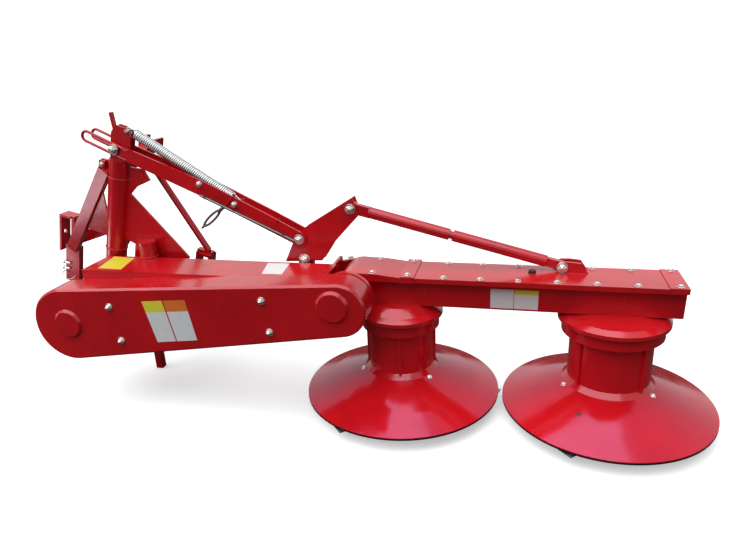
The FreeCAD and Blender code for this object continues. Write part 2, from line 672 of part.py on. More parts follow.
    sides = []
    for side, back in (("near", S.mid_plane - S.crank_gap - S.crank_thick), ("far", S.mid_plane + S.crank_gap)):
        sides.append(plate(f"clevis_{side}",
                           [(S.clevis_across - 22, S.bar_top), (S.clevis_across + 93, S.bar_top),
                            (S.clevis_across + 67, S.bar_top + 38), (S.clevis_across + 28, S.bar_top + 42),
                            (S.clevis_across, S.clevis_up + 20)],
                           back, S.crank_thick, [(S.clevis_across, S.clevis_up, 20)],
                           [(S.clevis_across, S.clevis_up, PIN_HOLE)]))
    web = box("clevis_web", S.clevis_across + 45, S.clevis_across + 57, S.mid_plane - S.crank_gap - 1,
              S.mid_plane + S.crank_gap + 1, S.bar_top, S.bar_top + 30)
    keep(fuse("clevis_whole", sides + [web]), "bar_clevis")
    keep(rod("clevis_pin_bar", S.pin_round, "y", S.mid_plane - 31, S.mid_plane + 31,
             S.clevis_across, S.clevis_up), "clevis_pin")


def drums():
    """Caps with spindles, ribbed drums, their discs, knives and skid dishes."""
    hub = S.spindle_round + S.gap
    table = (
        # name, axis along X, cylinder, band, lip of the cap, lip's height, first rib, first knife
        ("inner", 0, S.inner_round, S.inner_round + 24, S.inner_round + 38, 388, 8, 234),
        ("outer", S.drum_pitch, S.outer_round, S.outer_round + 32, S.outer_round + 48, 405, 40, 237),
    )
    for name, across, round_, band, lip, lip_up, rib, knife in table:
        under = S.bar_bottom
        cap = turned(f"cap_{name}",
                     [(0, under), (104, under), (lip - 24, lip_up + 26), (lip, lip_up + 14), (lip, lip_up),
                      (lip - 5, lip_up), (lip - 5, lip_up + 9), (lip - 28, lip_up + 19),
                      (S.spindle_round, lip_up + 19),
                      (S.spindle_round, S.skid_wall + S.gap), (0, S.skid_wall + S.gap)], across)
        keep(cap, f"drum_cap_{name}")

        wall = S.disc_wall
        top = lip_up - 5
        foot = round_ + S.foot_round_extra
        low = S.disc_up - wall
        skin = turned(f"bell_{name}",
                      [(hub, top), (band, top), (band, top - 42), (round_, top - 50), (round_, S.drum_foot + 18),
                       (foot, S.drum_foot), (round_ - wall, S.drum_foot),
                       (round_ - wall, top - 48), (band - wall, top - 40), (band - wall, top - wall),
                       (hub + 18, top - wall), (hub + 18, S.drum_foot - 40), (hub, S.drum_foot - 40)], 0)
        ribs = []
        for count in range(4):
            one = box(f"rib_{name}{count}", 0, S.rib_deep + 3, 0, S.rib_wide, 0, top - 48 - S.drum_foot - 14)
            turn = Rotation(Vector(0, 0, 1), rib + 90 * count)
            corner = turn.multVec(Vector(round_.value - 3, -S.rib_wide.value / 2, S.drum_foot.value + 14))
            one.Placement = Placement(corner, turn)
            ribs.append(one)
        whole = fuse(f"drum_{name}_whole", [skin] + ribs)
        bind(whole, "Placement.Base.x", across)
        keep(whole, f"drum_{name}")

        disc = turned(f"disc_{name}_sheet",
                      [(foot - S.foot_lap, S.drum_foot), (foot, S.drum_foot), (S.disc_round - 96, S.disc_up + 44),
                       (S.disc_round, S.disc_up + 4), (S.disc_round, low), (S.disc_round - 120, low),
                       (S.disc_round - 120, S.disc_up), (S.disc_round - 22, S.disc_up),
                       (S.disc_round - 98, S.disc_up + 36), (foot - 4, S.drum_foot - wall - 2),
                       (foot - S.foot_lap, S.drum_foot - wall - 2)], across)
        keep(disc, f"disc_{name}")

        blades = []
        under_disc = low - 4
        for count in range(3):
            blade = box(f"blade_{name}{count}", -20, S.knife_long, S.knife_wide / -2, S.knife_wide / 2,
                        under_disc - S.knife_thick, under_disc)
            boss = rod(f"boss_{name}{count}", 18, "z", under_disc - S.knife_thick - 5, low, 0, 0)
            one = fuse(f"knife_{name}{count}", [blade, boss])
            spoke = Rotation(Vector(0, 0, 1), knife + 120 * count)
            swing = Rotation(Vector(0, 0, 1), S.knife_swing.value)
            one.Placement = Placement(spoke.multVec(Vector(S.knife_root.value, 0, 0)), spoke * swing)
            blades.append(one)
        knives = group(f"knives_{name}_whole", blades)
        bind(knives, "Placement.Base.x", across)
        keep(knives, f"knives_{name}")

        sheet_wall = S.skid_wall
        skid = turned(f"skid_{name}_dish",
                      [(0, 0), (S.skid_flat, 0), (S.skid_round, S.skid_rise), (S.skid_round, S.skid_rise + 8),
                       (S.skid_round - sheet_wall, S.skid_rise + 8), (S.skid_flat - 1, sheet_wall),
                       (hub + 20, sheet_wall), (hub + 20, S.drum_foot - 50), (hub, S.drum_foot - 50),
                       (hub, sheet_wall), (0, sheet_wall)], across)
        keep(skid, f"skid_{name}")


def bell_crank():
    """Two plates on the pivot, with the pins of pivot, boom and lift rod."""
    across, up = S.crank_across, S.crank_up
    outline = [(across - 82, up - 12), (across + 75, up - 2), (across + 122, up + 68),
               (S.rod_across + 31, S.rod_up - 25), (S.rod_across + 9, S.rod_up + 42),
               (S.boom_across + 22, S.boom_up + 44), (S.boom_across - 30, S.boom_up - 16)]
    bores = [(across, up, PIN_HOLE + (S.pivot_round - S.pin_round)), (S.boom_across, S.boom_up, PIN_HOLE),
             (S.rod_across, S.rod_up, PIN_HOLE)]
    sides = (("near", S.mid_plane - S.crank_gap - S.crank_thick), ("far", S.mid_plane + S.crank_gap))
    for side, back in sides:
        keep(plate(f"crank_plate_{side}", outline, back, S.crank_thick, bores=bores), f"crank_{side}")
    reach = S.crank_gap + S.crank_thick + 6
    pins = []
    for name, radius, x, z, extra in (("pivot", S.pivot_round, across, up, 0),
                                      ("boom", S.pin_round, S.boom_across, S.boom_up, 14),
                                      ("rod", S.pin_round, S.rod_across, S.rod_up, 0)):
        far = reach + extra
        pins.append(rod(f"crank_pin_{name}", radius, "y", S.mid_plane - far, S.mid_plane + far, x, z))
    keep(group("crank_pins_all", pins), "crank_pins")


def lift_rod():
    """Two tubes with a thread between, an eye at each end; built along X from the crank's pin."""
    half = S.eye_half
    back = S.mid_plane - half
    hole = PIN_HOLE
    inner = plate("rod_eye_crank", [(0, -20), (78, -20), (78, 20), (0, 20)], back, half * 2,
                  [(0, 0, S.eye_round)], [(0, 0, S.pin_round + S.eye_play)])
    tube = rod("rod_tube_inner", S.tube_round, "x", 70, S.rod_seam - S.thread_long, S.mid_plane, 0)
    thread = rod("rod_thread", S.thread_round, "x", S.rod_seam - S.thread_long - 10, S.rod_seam, S.mid_plane, 0)
    keep(fuse("rod_inner_whole", [inner, tube, thread]), "rod_inner", ROD)
    outer = plate("rod_eye_bar", [(ROD_LONG - 70, -16), (ROD_LONG, -16), (ROD_LONG, 16), (ROD_LONG - 70, 16)],
                  back, half * 2, [(ROD_LONG, 0, 18)], [(ROD_LONG, 0, hole)])
    tube = rod("rod_tube_outer", S.tube_round, "x", S.rod_seam, ROD_LONG - 60, S.mid_plane, 0)
    keep(fuse("rod_outer_whole", [outer, tube]), "rod_outer", ROD)


def boom():
    """Side plates with slotted loops round the head pin, bolts, latch rod and relief spring."""
    outline = [(30, -24), (S.boom_waist, -18), (S.boom_shoulder, -24), (BOOM_LONG, -28), (BOOM_LONG, 28),
               (S.boom_shoulder, 36), (S.boom_waist, 44), (30, 28)]
    bolts = ((386, 28), (547, 14))
    loop, wire, reach = 20, 6, -126
    for side, back in (("near", S.mid_plane - S.boom_gap - S.boom_thick), ("far", S.mid_plane + S.boom_gap)):
        middle = back + S.boom_thick / 2
        bores = [(BOOM_LONG, 0, PIN_HOLE)] + [(x, z, 9.05) for x, z in bolts]
        bar = plate(f"boom_bar_{side}", outline, back, S.boom_thick, [(BOOM_LONG, 0, 28)], bores)
        arms = [rod(f"loop_arm_{side}{index}", wire, "x", reach, 60, middle, up)
                for index, up in enumerate((-loop, loop))]
        bend = fresh("Part::Torus", f"loop_bend_{side}")
        bend.Radius1 = loop
        bend.Radius2 = wire
        bend.Angle3 = 180
        bend.Placement = Placement(Vector(reach, 0, 0),
                                   Rotation(Vector(1, 0, 0), 90) * Rotation(Vector(0, 0, 1), 90))
        bind(bend, "Placement.Base.y", middle)
        keep(fuse(f"boom_side_{side}", [bar, bend] + arms), f"boom_{side}", BOOM)
    reach = S.boom_gap + S.boom_thick + 6
    inside = S.mid_plane - S.boom_gap + 2
    outside = S.mid_plane + S.boom_gap - 2
    (first_x, first_z), (second_x, second_z) = bolts
    keep(group("boom_bolts_all", [
        rod("boom_bolt_near", 9, "y", S.mid_plane - reach, inside, first_x, first_z),
        rod("boom_bolt_far", 9, "y", outside, S.mid_plane + reach, first_x, first_z),
        rod("boom_bolt_through", 9, "y", S.mid_plane - reach, S.mid_plane + reach, second_x, second_z),
    ]), "boom_bolts", BOOM)
    latch_y = S.mid_plane - S.boom_gap - S.boom_thick - 9
    latch = rod("latch_bar", 5, "x", 403, 826, latch_y, -12)
    lugs = [box(f"latch_lug{index}", start, start + 12, latch_y - 4, latch_y + 9, -17, -7)
            for index, start in enumerate((420, 770))]
    keep(fuse("latch_whole", [latch] + lugs), "latch_rod", BOOM)
    coil = bar_between("spring_coil", (58, S.mid_plane, 88), (515, S.mid_plane, 25), 21)
    hook = bar_between("spring_hook", (510, S.mid_plane, 25.7), (537.8, S.mid_plane, 16), 4)
    keep(fuse("spring_whole", [coil, hook]), "relief_spring", BOOM)


def post():
    """Kingpin with its foot, sleeve, gusset plate, stop foot and head; built upright from the foot pin."""
    foot = plate("king_foot", [(-30, 0), (30, 0), (30, S.king_bottom - 10), (-30, S.king_bottom - 10)],
                 S.mid_plane - 33, 66, [(0, 0, 34)], [(0, 0, S.pivot_round + S.fit)])
    head_low = S.sleeve_top + S.collar_high + 10
    king = rod("king_bar", S.king_round, "z", S.king_bottom - 12, head_low, 0, S.mid_plane)
    keep(fuse("king_whole", [foot, king]), "kingpin", POST)
    tube = rod("sleeve_tube", S.sleeve_round, "z", S.sleeve_bottom, S.sleeve_top, 0, S.mid_plane)
    room = rod("sleeve_room", S.king_round, "z", S.sleeve_bottom - 1, S.sleeve_top + 1, 0, S.mid_plane)
    keep(cut("sleeve_whole", tube, room), "post_sleeve", POST)
    blank = plate("gusset_blank",
                  [(38, 154), (90, 141), (90, 66), (300, 66), (344, 149), (58, 358), (83, 395), (142, 437),
                   (111, 476), (50, 473), (50, 415), (38, 415)],
                  S.mid_plane - S.gusset_thick / 2, S.gusset_thick)
    around = rod("gusset_around", S.sleeve_round, "z", 0, 500, 0, S.mid_plane)
    keep(cut("gusset_whole", blank, around), "gusset_plate", POST)
    keep(rod("stop_bar", S.stop_round, "z", S.beam_top + S.gap, S.beam_top + S.stop_high, S.stop_across,
             S.mid_plane - S.gusset_thick / 2 - S.gap - S.stop_round), "stop_foot")
    disc = rod("head_disc", S.sleeve_round, "z", head_low, head_low + 14, 0, S.mid_plane)
    pieces = [disc]
    pin = (S.head_across, S.head_up, PIN_HOLE)
    anchor = (40, 622, 7.05)
    backs = (("near", S.mid_plane - S.head_gap + 4 - S.head_thick), ("far", S.mid_plane + S.head_gap - 4))
    for side, back in backs:
        pieces.append(plate(f"head_plate_{side}",
                            [(-32, head_low + 10), (34, head_low + 10), (56, 560), (56, 604), (40, 630),
                             (-14, 634), (-32, 600)], back, S.head_thick, bores=[pin, anchor]))
    keep(fuse("head_whole", pieces), "head_bracket", POST)
    keep(group("head_pins_all", [
        rod("head_pin_boom", S.pin_round, "y", S.mid_plane - 42, S.mid_plane + 42, S.head_across, S.head_up),
        rod("head_pin_spring", 7, "y", S.mid_plane - 26, S.mid_plane + 26, 40, 622)]), "head_pins", POST)
    keep(bar_between("lever_bar", (-18, S.mid_plane, 590), (-46, S.mid_plane, 675), 9.8), "head_lever", POST)


def hitch_frame():
    """Collars on the kingpin, left leg, right strut, lower arms, hitch brackets and top link ears."""
    mid = S.mid_plane
    bore_round = S.king_round + S.fit
    low, high = S.sleeve_top + S.gap, S.sleeve_top + S.collar_high + 10 - S.gap
    ring = rod("upper_ring", S.sleeve_round, "z", low, high, 0, mid)
    ear = box("upper_ear", -80, -34, mid - 8, mid + 8, low, high)
    mast = flat_bar("mast_bar", (0, mid + 34, 450), (0, S.link_front - 40, 505), 44, 44)
    block = box("mast_block", -S.link_gap, S.link_gap, S.link_front - 52, S.link_front - 24, 480, S.link_up + 22)
    bore = rod("upper_bore", bore_round, "z", low - 5, high + 30, 0, mid)
    keep(cut("upper_collar_whole", fuse("upper_solid", [ring, ear, mast, block]), bore), "upper_collar", POST)

    ears = []
    for name, start in (("left", -S.link_gap - 12), ("right", S.link_gap)):
        blank = box(f"link_ear_{name}", start, start + 12, S.link_front - 52, S.link_front + 24,
                    S.link_up - 28, S.link_up + 28)
        hole = rod(f"link_hole_{name}", S.link_bore, "x", start - 1, start + 13, S.link_front, S.link_up)
        ears.append(cut(f"link_ear_{name}_bored", blank, hole))
    keep(group("link_ears_all", ears), "top_link_ears", POST)

    face = S.side_half - S.side_thick / 2
    outside = face + S.side_thick
    cheek = outside + S.cheek_gap
    plate_top = S.hitch_up + 90
    bores = {"left": S.side_front, "right": S.side_front + S.hitch_stagger}
    ring = rod("lower_ring", S.sleeve_round, "z", S.king_bottom + 5, S.sleeve_bottom - S.gap, 0, mid)
    spine = extruded("collar_spine",
                     [(mid + 30, S.king_bottom + 5), (S.side_front + 6, S.arm_top - 42),
                      (S.side_front + 6, S.arm_top + 23), (S.side_front - 6, S.arm_top + 23),
                      (mid + S.sleeve_round + 3, S.sleeve_bottom - S.gap), (mid + 30, S.sleeve_bottom - S.gap)],
                     S.arm_thick / -2, S.arm_thick)
    arms = []
    tools = [rod("lower_bore", bore_round, "z", 0, S.sleeve_bottom + 20, 0, mid)]
    for name, way in (("left", -1), ("right", 1)):
        arms.append(flat_bar(f"arm_{name}", (0, S.side_front, S.arm_top),
                             ((face + 20) * way, S.side_front, S.arm_low), S.arm_wide, S.arm_thick))
        ends = sorted((face * way, (face + 60) * way), key=number)
        tools.append(box(f"arm_end_{name}", ends[0], ends[1], S.side_front - 20, S.side_front + 20,
                         S.arm_low - 60, S.arm_low + 60))
        ends = sorted(((face - 34) * way, (face + 1) * way), key=number)
        tools.append(rod(f"arm_room_{name}", S.hitch_bore + 7, "x", ends[0], ends[1], bores[name], S.hitch_up))
    keep(holes("lower_collar_whole", fuse("lower_solid", [ring, spine] + arms), tools), "lower_collar", POST)

    for name, way in (("left", -1), ("right", 1)):
        ends = sorted((face * way, outside * way), key=number)
        bar = box(f"side_plate_{name}", ends[0], ends[1], S.side_front - S.side_wide / 2,
                  S.side_front + S.side_wide / 2, -60, plate_top + 1)
        ends = sorted(((S.side_half - S.leg_wide / 2) * way, (S.side_half + S.leg_wide / 2) * way), key=number)
        leg = box(f"side_leg_{name}", ends[0], ends[1], S.side_front - S.side_wide / 2, S.side_front + 6,
                  S.side_bottom, -24)
        pieces = [bar, leg]
        if name == "left":
            top, bottom = (-50, mid - 22, 440), (8 - S.side_half, S.side_front - 30, -30)
            pieces.append(box("leg_pad", -80, -52, mid - 24, mid - 8, S.sleeve_top + 10, S.sleeve_top + 55))
            pieces.append(flat_bar("leg_bar", top, bottom, S.bar_wide, S.bar_deep))
            pieces.append(flat_web("leg_web", top, bottom, [(100, 20), (370, 20), (300, 150)], 8))
        else:
            middle = S.side_front
            pieces.append(bar_between("strut_bar", (S.strut_in, middle, S.strut_up),
                                      (S.side_half + S.strut_out, middle, plate_top + 12), 14))
            pieces.append(box("strut_lug_top", S.strut_in - 12, S.strut_in + 2, middle - 15, middle + 15,
                              S.strut_up - 10, S.strut_up + 18))
            pieces.append(box("strut_lug_low", face, cheek + S.cheek_thick, middle - 15, middle + 15,
                              plate_top, plate_top + 12))
        solid = fuse(f"side_solid_{name}", pieces)
        tools = [rod(f"side_hole_{name}", S.hitch_bore, "x", face * way - 30, face * way + 30,
                     bores[name], S.hitch_up)]
        if name == "left":
            tools.append(rod("leg_cope", S.sleeve_round + 3, "z", 0, high + 60, 0, mid))
            tools.append(box("leg_ear_cope", -80, -34, mid - 8, mid + 8, low, high))
        side = holes(f"side_whole_{name}", solid, tools)
        keep(side, "left_leg" if name == "left" else "right_strut", POST)
        span = sorted((outside * way, (cheek + S.cheek_thick) * way), key=number)
        edge = sorted((cheek * way, (cheek + S.cheek_thick) * way), key=number)
        lid = box(f"bracket_lid_{name}", span[0], span[1], S.side_front - 32, S.side_front + 32,
                  plate_top - 10, plate_top)
        outer = box(f"bracket_cheek_{name}", edge[0], edge[1], S.side_front - 32, S.side_front + 32,
                    S.hitch_up - 90, plate_top)
        hole = rod(f"bracket_hole_{name}", S.hitch_bore, "x", cheek * way - 30, cheek * way + 30,
                   bores[name], S.hitch_up)
        keep(cut(f"bracket_whole_{name}", fuse(f"bracket_solid_{name}", [lid, outer]), hole),
             f"hitch_bracket_{name}", POST)


def parking_stand():
    """Square leg that hangs on its lug and stands on the ground."""
    half = S.stand_wide / 2
    leg = box("stand_leg", S.stand_across - half, S.stand_across + half, S.stand_front - half,
              S.stand_front + half, 0, S.stand_up + half + 4)
    hole = rod("stand_hole", 8.05, "y", S.stand_front - half - 1, S.stand_front + half + 1,
               S.stand_across, S.stand_up)
    keep(cut("stand_whole", leg, hole), "parking_stand")


main_frame()
belt_drive()
mower_bar()
drums()
bell_crank()
lift_rod()
boom()
post()
hitch_frame()
parking_stand()

# A sub-part that leans or slopes is stood in its own frame.
finished = []
for piece, name, frame in made:
    if frame is not None:
        piece.Label = f"{name}_upright"
        stood = doc.addObject("Part::Compound", f"stood_{name}")
        stood.Links = [piece]
        stood.Placement = frame
        stood.Label = name
        piece = stood
    finished.append(piece)
doc.recompute()

for thing in doc.Objects:
    if "Invalid" in thing.State or "Error" in thing.State:
        raise RuntimeError(f"{thing.Name} failed: {thing.State}")
os.makedirs("parts", exist_ok=True)
for piece in finished:
    if piece.Shape.isNull() or not piece.Shape.isValid():
        raise RuntimeError(f"{piece.Label} has no valid shape")
for piece in finished:
    piece.Shape.exportStep(f"parts/{piece.Label}.step")
    print(piece.Label, len(piece.Shape.Solids), round(piece.Shape.Volume / 1000, 1))
print(len(finished), "sub-parts", "head pin", HEAD, "boom", BOOM_LONG, "rod", ROD_LONG)
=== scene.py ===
import json
import math

import bmesh
import bpy
import numpy as np
from bpy.props import FloatProperty, FloatVectorProperty, IntProperty, PointerProperty
from bpy.types import Operator, Panel, PropertyGroup
from mathutils import Matrix, Vector


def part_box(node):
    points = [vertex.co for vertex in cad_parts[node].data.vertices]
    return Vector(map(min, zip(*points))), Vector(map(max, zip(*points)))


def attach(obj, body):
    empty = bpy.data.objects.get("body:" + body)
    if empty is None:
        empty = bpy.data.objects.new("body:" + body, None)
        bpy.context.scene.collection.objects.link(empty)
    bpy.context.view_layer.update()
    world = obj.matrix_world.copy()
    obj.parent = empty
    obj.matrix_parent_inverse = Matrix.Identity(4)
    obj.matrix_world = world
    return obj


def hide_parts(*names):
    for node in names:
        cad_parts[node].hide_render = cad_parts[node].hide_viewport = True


bl_info = {
    "name": "Drum Mower Dresser",
    "version": (1, 0, 0),
    "blender": (4, 5, 0),
    "location": "View3D > Sidebar > Mower",
    "description": "Paint, fixings, spring, signs and studio for a mounted mower with two drums",
    "category": "Object",
}

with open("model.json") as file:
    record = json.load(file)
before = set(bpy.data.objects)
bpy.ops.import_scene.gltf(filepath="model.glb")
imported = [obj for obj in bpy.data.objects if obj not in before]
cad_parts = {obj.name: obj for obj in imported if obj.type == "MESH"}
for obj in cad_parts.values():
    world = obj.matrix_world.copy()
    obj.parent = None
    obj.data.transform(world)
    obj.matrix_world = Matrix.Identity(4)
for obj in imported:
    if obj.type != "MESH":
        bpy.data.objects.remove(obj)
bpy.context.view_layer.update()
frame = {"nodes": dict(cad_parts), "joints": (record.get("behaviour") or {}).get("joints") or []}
TAU = 2 * math.pi

# Places on the mower, in metres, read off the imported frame.
JOINT = {joint["name"]: joint for joint in frame["joints"]}


def joint_place(name):
    """A point on a joint's axis."""
    return np.array(JOINT[name]["pos_m"])


UP = np.array((0.0, 0.0, 1.0))
FORWARD = np.array((0.0, 1.0, 0.0))
POST_UP = np.array(JOINT["hitch_swing"]["axis"])
POST_RIGHT = np.cross(FORWARD, POST_UP)
POST_FOOT = joint_place("post_tilt")
MID_PLANE = POST_FOOT[1]
HEAD_ACROSS, HEAD_UP = -0.007, 0.537
HEAD_PIN = POST_FOOT + POST_RIGHT * HEAD_ACROSS + POST_UP * HEAD_UP
BOOM_PIN = joint_place("boom_swing")
BOOM_ALONG = (BOOM_PIN - HEAD_PIN) / np.linalg.norm(BOOM_PIN - HEAD_PIN)
BOOM_UP = np.cross(BOOM_ALONG, FORWARD)
# The two bolts through the boom: how far along it from the head pin, and over its middle line.
BOOM_BOLTS = ((0.386, 0.028), (0.547, 0.014))
BULGE_HIGH = 0.010
GUARD_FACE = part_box("belt_guard")[0].y + BULGE_HIGH
BEAM_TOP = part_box("main_beam")[1].z
STRAP_THICK = 0.006
LID_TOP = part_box("lid_strap")[1].z - STRAP_THICK
HUMP_START, HUMP_END = 0.015, -0.070
HUMP_RISE = 0.010
FILM_THICK = 0.0004
WASHER_THICK = 0.0025


def on_post(across, front, up):
    """A place in the leaning post's own directions: P + across R + up U from its foot pin P, with
    front as the world's Y."""
    place = POST_FOOT + POST_RIGHT * across + POST_UP * up
    place[1] = front
    return place


def post_way(across, front, up):
    """A direction in the leaning post's own directions: across R + front Y + up U."""
    return POST_RIGHT * across + FORWARD * front + POST_UP * up


def on_boom(along, front, up):
    """A place along and over the boom: H + along B + up V from the head pin H, with front as the
    world's Y."""
    place = HEAD_PIN + BOOM_ALONG * along + BOOM_UP * up
    place[1] = front
    return place


# Surfaces


def grid(points, round_rows=False, round_columns=False):
    """Four-sided faces between neighbours in a grid of points, closed into a ring where that is asked."""
    rows, columns = points.shape[:2]
    index = np.arange(rows * columns).reshape(rows, columns)
    if round_rows:
        index = np.vstack([index, index[:1]])
    if round_columns:
        index = np.hstack([index, index[:, :1]])
    faces = np.stack([index[:-1, :-1], index[:-1, 1:], index[1:, 1:], index[1:, :-1]], -1)
    return points.reshape(-1, 3), faces.reshape(-1, 4)


def lathe(profile, steps=24, first=0.0):
    """A profile turned about +Z: a point at radius r and height h goes round as (r cos a, r sin a, h)."""
    profile = np.asarray(profile, float)
    turn = first + np.linspace(0, TAU, steps, endpoint=False)
    radius, height = profile[:, :1], profile[:, 1:]
    points = np.stack(np.broadcast_arrays(radius * np.cos(turn), radius * np.sin(turn), height), -1)
    return grid(points, round_columns=True)


def tube(path, radius, sides=10, across=(0, 1, 0), closed=False):
    """A round section carried along a path: centre + r (cos a N + sin a B). T is the path's direction,
    N is what is left of the given cross direction without its part along T, and B = T x N."""
    path = np.asarray(path, float)
    if closed:
        along = np.roll(path, -1, 0) - np.roll(path, 1, 0)
    else:
        along = np.gradient(path, axis=0)
    along /= np.linalg.norm(along, axis=1, keepdims=True)
    side = np.broadcast_to(np.asarray(across, float), path.shape)
    side = side - (side * along).sum(1, keepdims=True) * along
    side /= np.linalg.norm(side, axis=1, keepdims=True)
    other = np.cross(along, side)
    turn = np.linspace(0, TAU, sides, endpoint=False)[None, :, None]
    reach = np.broadcast_to(np.asarray(radius, float).reshape(-1, 1, 1), (len(path), 1, 1))
    points = path[:, None] + reach * (np.cos(turn) * side[:, None] + np.sin(turn) * other[:, None])
    if not closed:
        first = np.repeat(path[:1, None], sides, 1)
        last = np.repeat(path[-1:, None], sides, 1)
        points = np.concatenate([first, points, last])
    return grid(points, round_rows=closed, round_columns=True)


def slab(corners, lift):
    """A thin plate over four corners: the same four points again, carried along the lift, and six faces."""
    low = np.asarray(corners, float)
    points = np.concatenate([low, low + np.asarray(lift, float)])
    faces = np.array([(3, 2, 1, 0), (4, 5, 6, 7), (0, 1, 5, 4), (1, 2, 6, 5), (2, 3, 7, 6), (3, 0, 4, 7)])
    return points, faces


def set_at(surface, place, axis=(0, 0, 1)):
    """Turn a surface's +Z onto an axis and carry it to its place."""
    turn = np.array(Vector((0, 0, 1)).rotation_difference(Vector(axis)).to_matrix())
    return surface[0] @ turn.T + np.asarray(place, float), surface[1]


def arc(centre, first, second, radius, start, stop, steps):
    """Points centre + r (cos a F + sin a S) for a from start to stop, in degrees."""
    turn = np.radians(np.linspace(start, stop, steps))[:, None]
    spoke = np.cos(turn) * np.asarray(first) + np.sin(turn) * np.asarray(second)
    return np.asarray(centre) + radius * spoke


def piece(name, surfaces, finish, body, sharp=32, bevel=0.0):
    """One mesh from several surfaces, with its doubles merged, its faces turned outwards and its
    body named. Edges sharper than an angle in degrees stay sharp, and a bevel is a width in metres."""
    points = np.concatenate([surface[0] for surface in surfaces])
    starts = np.cumsum([0] + [len(surface[0]) for surface in surfaces[:-1]])
    faces = [face for surface, start in zip(surfaces, starts) for face in (surface[1] + start).tolist()]
    mesh = bpy.data.meshes.new(name)
    mesh.from_pydata(points.tolist(), [], faces)
    shape = bmesh.new()
    shape.from_mesh(mesh)
    bmesh.ops.remove_doubles(shape, verts=shape.verts, dist=1e-6)
    bmesh.ops.dissolve_degenerate(shape, edges=shape.edges, dist=1e-7)
    bmesh.ops.recalc_face_normals(shape, faces=shape.faces)
    shape.to_mesh(mesh)
    shape.free()
    mesh.polygons.foreach_set("use_smooth", [True] * len(mesh.polygons))
    mesh.set_sharp_from_angle(angle=math.radians(sharp))
    mesh.materials.append(finish)
    thing = bpy.data.objects.new(name, mesh)
    bpy.context.scene.collection.objects.link(thing)
    if bevel:
        edge = thing.modifiers.new("edges", "BEVEL")
        edge.width = bevel
        edge.segments = 2
        edge.limit_method = "ANGLE"
    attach(thing, body)
    return thing


def lid_hump(x):
    """How far the lid rises over its flat top towards the hinge: a straight slope, held at both ends."""
    return HUMP_RISE * min(1.0, max(0.0, (HUMP_START - x) / (HUMP_START - HUMP_END)))


# Small fixings, each built standing on z = 0 along +Z


def washer(radius):
    """A flat disc: out along the top, down the softened rim and back along the bottom."""
    thick, soft = WASHER_THICK, 0.0004
    profile = [(0, thick), (radius - soft, thick), (radius, thick - soft),
               (radius, soft), (radius - soft, 0), (0, 0)]
    return lathe(profile, 28)


def hexagon(across, high, base=0.0, turn=0.0):
    """A six-sided head whose top corners are cut to a cone: a lathe of six steps."""
    corner = across / 2 / math.cos(math.pi / 6)
    soft = corner * 0.12
    profile = [(0, base + high), (corner - soft * 1.6, base + high), (corner, base + high - soft),
               (corner, base + soft * 0.4), (corner - soft * 0.6, base), (0, base)]
    return lathe(profile, 6, turn)


def stub(radius, high, base=0.0):
    """A thread's end: a cylinder with its edge cut back, and shallow turns of thread as waves,
    r (1 - d + d cos 2 pi n s) for s from the top to the bottom."""
    turns, deep = 3, 0.03
    steps = np.linspace(0, 1, 13)
    wave = radius * (1 - deep + deep * np.cos(steps * TAU * turns))
    profile = [(0, base + high), (radius * 0.8, base + high)]
    profile += [(reach, base + (high - radius * 0.2) * (1 - step)) for reach, step in zip(wave, steps)]
    profile += [(0, base)]
    return lathe(profile, 18)


def dome(radius, high, base=0.0):
    """A round cap: a quarter ellipse from the rim to the top, (r cos a, h sin a)."""
    turn = np.linspace(0, math.pi / 2, 7)
    profile = [(0, base)] + [(radius * math.cos(a), base + high * math.sin(a)) for a in turn]
    return lathe(profile, 24)


def bolt(place, axis, across, turn, disc, tall=0.0065):
    """A washer with a six-sided head on it."""
    parts = [washer(disc), hexagon(across, tall, WASHER_THICK, turn)]
    return [set_at(part, place, axis) for part in parts]


def nut(place, axis, across, turn, disc, tail):
    """A washer, a nut and the end of the thread."""
    high = across * 0.45
    parts = [washer(disc), hexagon(across, high, WASHER_THICK, turn), stub(across * 0.3, high + tail, 0.002)]
    return [set_at(part, place, axis) for part in parts]


def acorn(place, axis, across, turn):
    """A washer, a six-sided skirt and a round cap over it."""
    skirt, cap = 0.007, 0.011
    parts = [washer(0.015), hexagon(across, skirt, WASHER_THICK, turn), dome(across * 0.44, cap, 0.0085)]
    return [set_at(part, place, axis) for part in parts]


def bead(path, radius=0.003, across=(0, 1, 0), closed=False):
    """A weld: a tube whose radius swells and shrinks along it as r (1 + q sin 2 pi s / pitch)."""
    ripple, pitch = 0.18, 0.006
    path = np.asarray(path, float)
    step = np.linalg.norm(np.diff(path, axis=0), axis=1)
    run = np.concatenate([[0], np.cumsum(step)])
    swell = radius * (1 + ripple * np.sin(TAU * run / pitch))
    return tube(path, swell, 8, across, closed)


def line(start, end, gap=0.0015):
    """Even points on a straight run: S + s (E - S) for s from 0 to 1."""
    start, end = np.asarray(start, float), np.asarray(end, float)
    count = max(3, int(np.linalg.norm(end - start) / gap) + 1)
    return start + np.linspace(0, 1, count)[:, None] * (end - start)


def ring_path(centre, axis, radius, count=160):
    """A circle about an axis: centre + r (cos a F + sin a S)."""
    axis = Vector(axis).normalized()
    first = np.array(axis.orthogonal().normalized())
    return arc(centre, first, np.cross(np.array(axis), first), radius, 0, 360 - 360 / count, count)


# Finishes


def material(name):
    """A material with its Principled shader, its node lists and its object coordinates."""
    finish = bpy.data.materials.new(name)
    finish.use_nodes = True
    nodes = finish.node_tree.nodes
    shader = nodes["Principled BSDF"]
    where = nodes.new("ShaderNodeTexCoord").outputs["Object"]
    return finish, nodes, finish.node_tree.links, shader, where


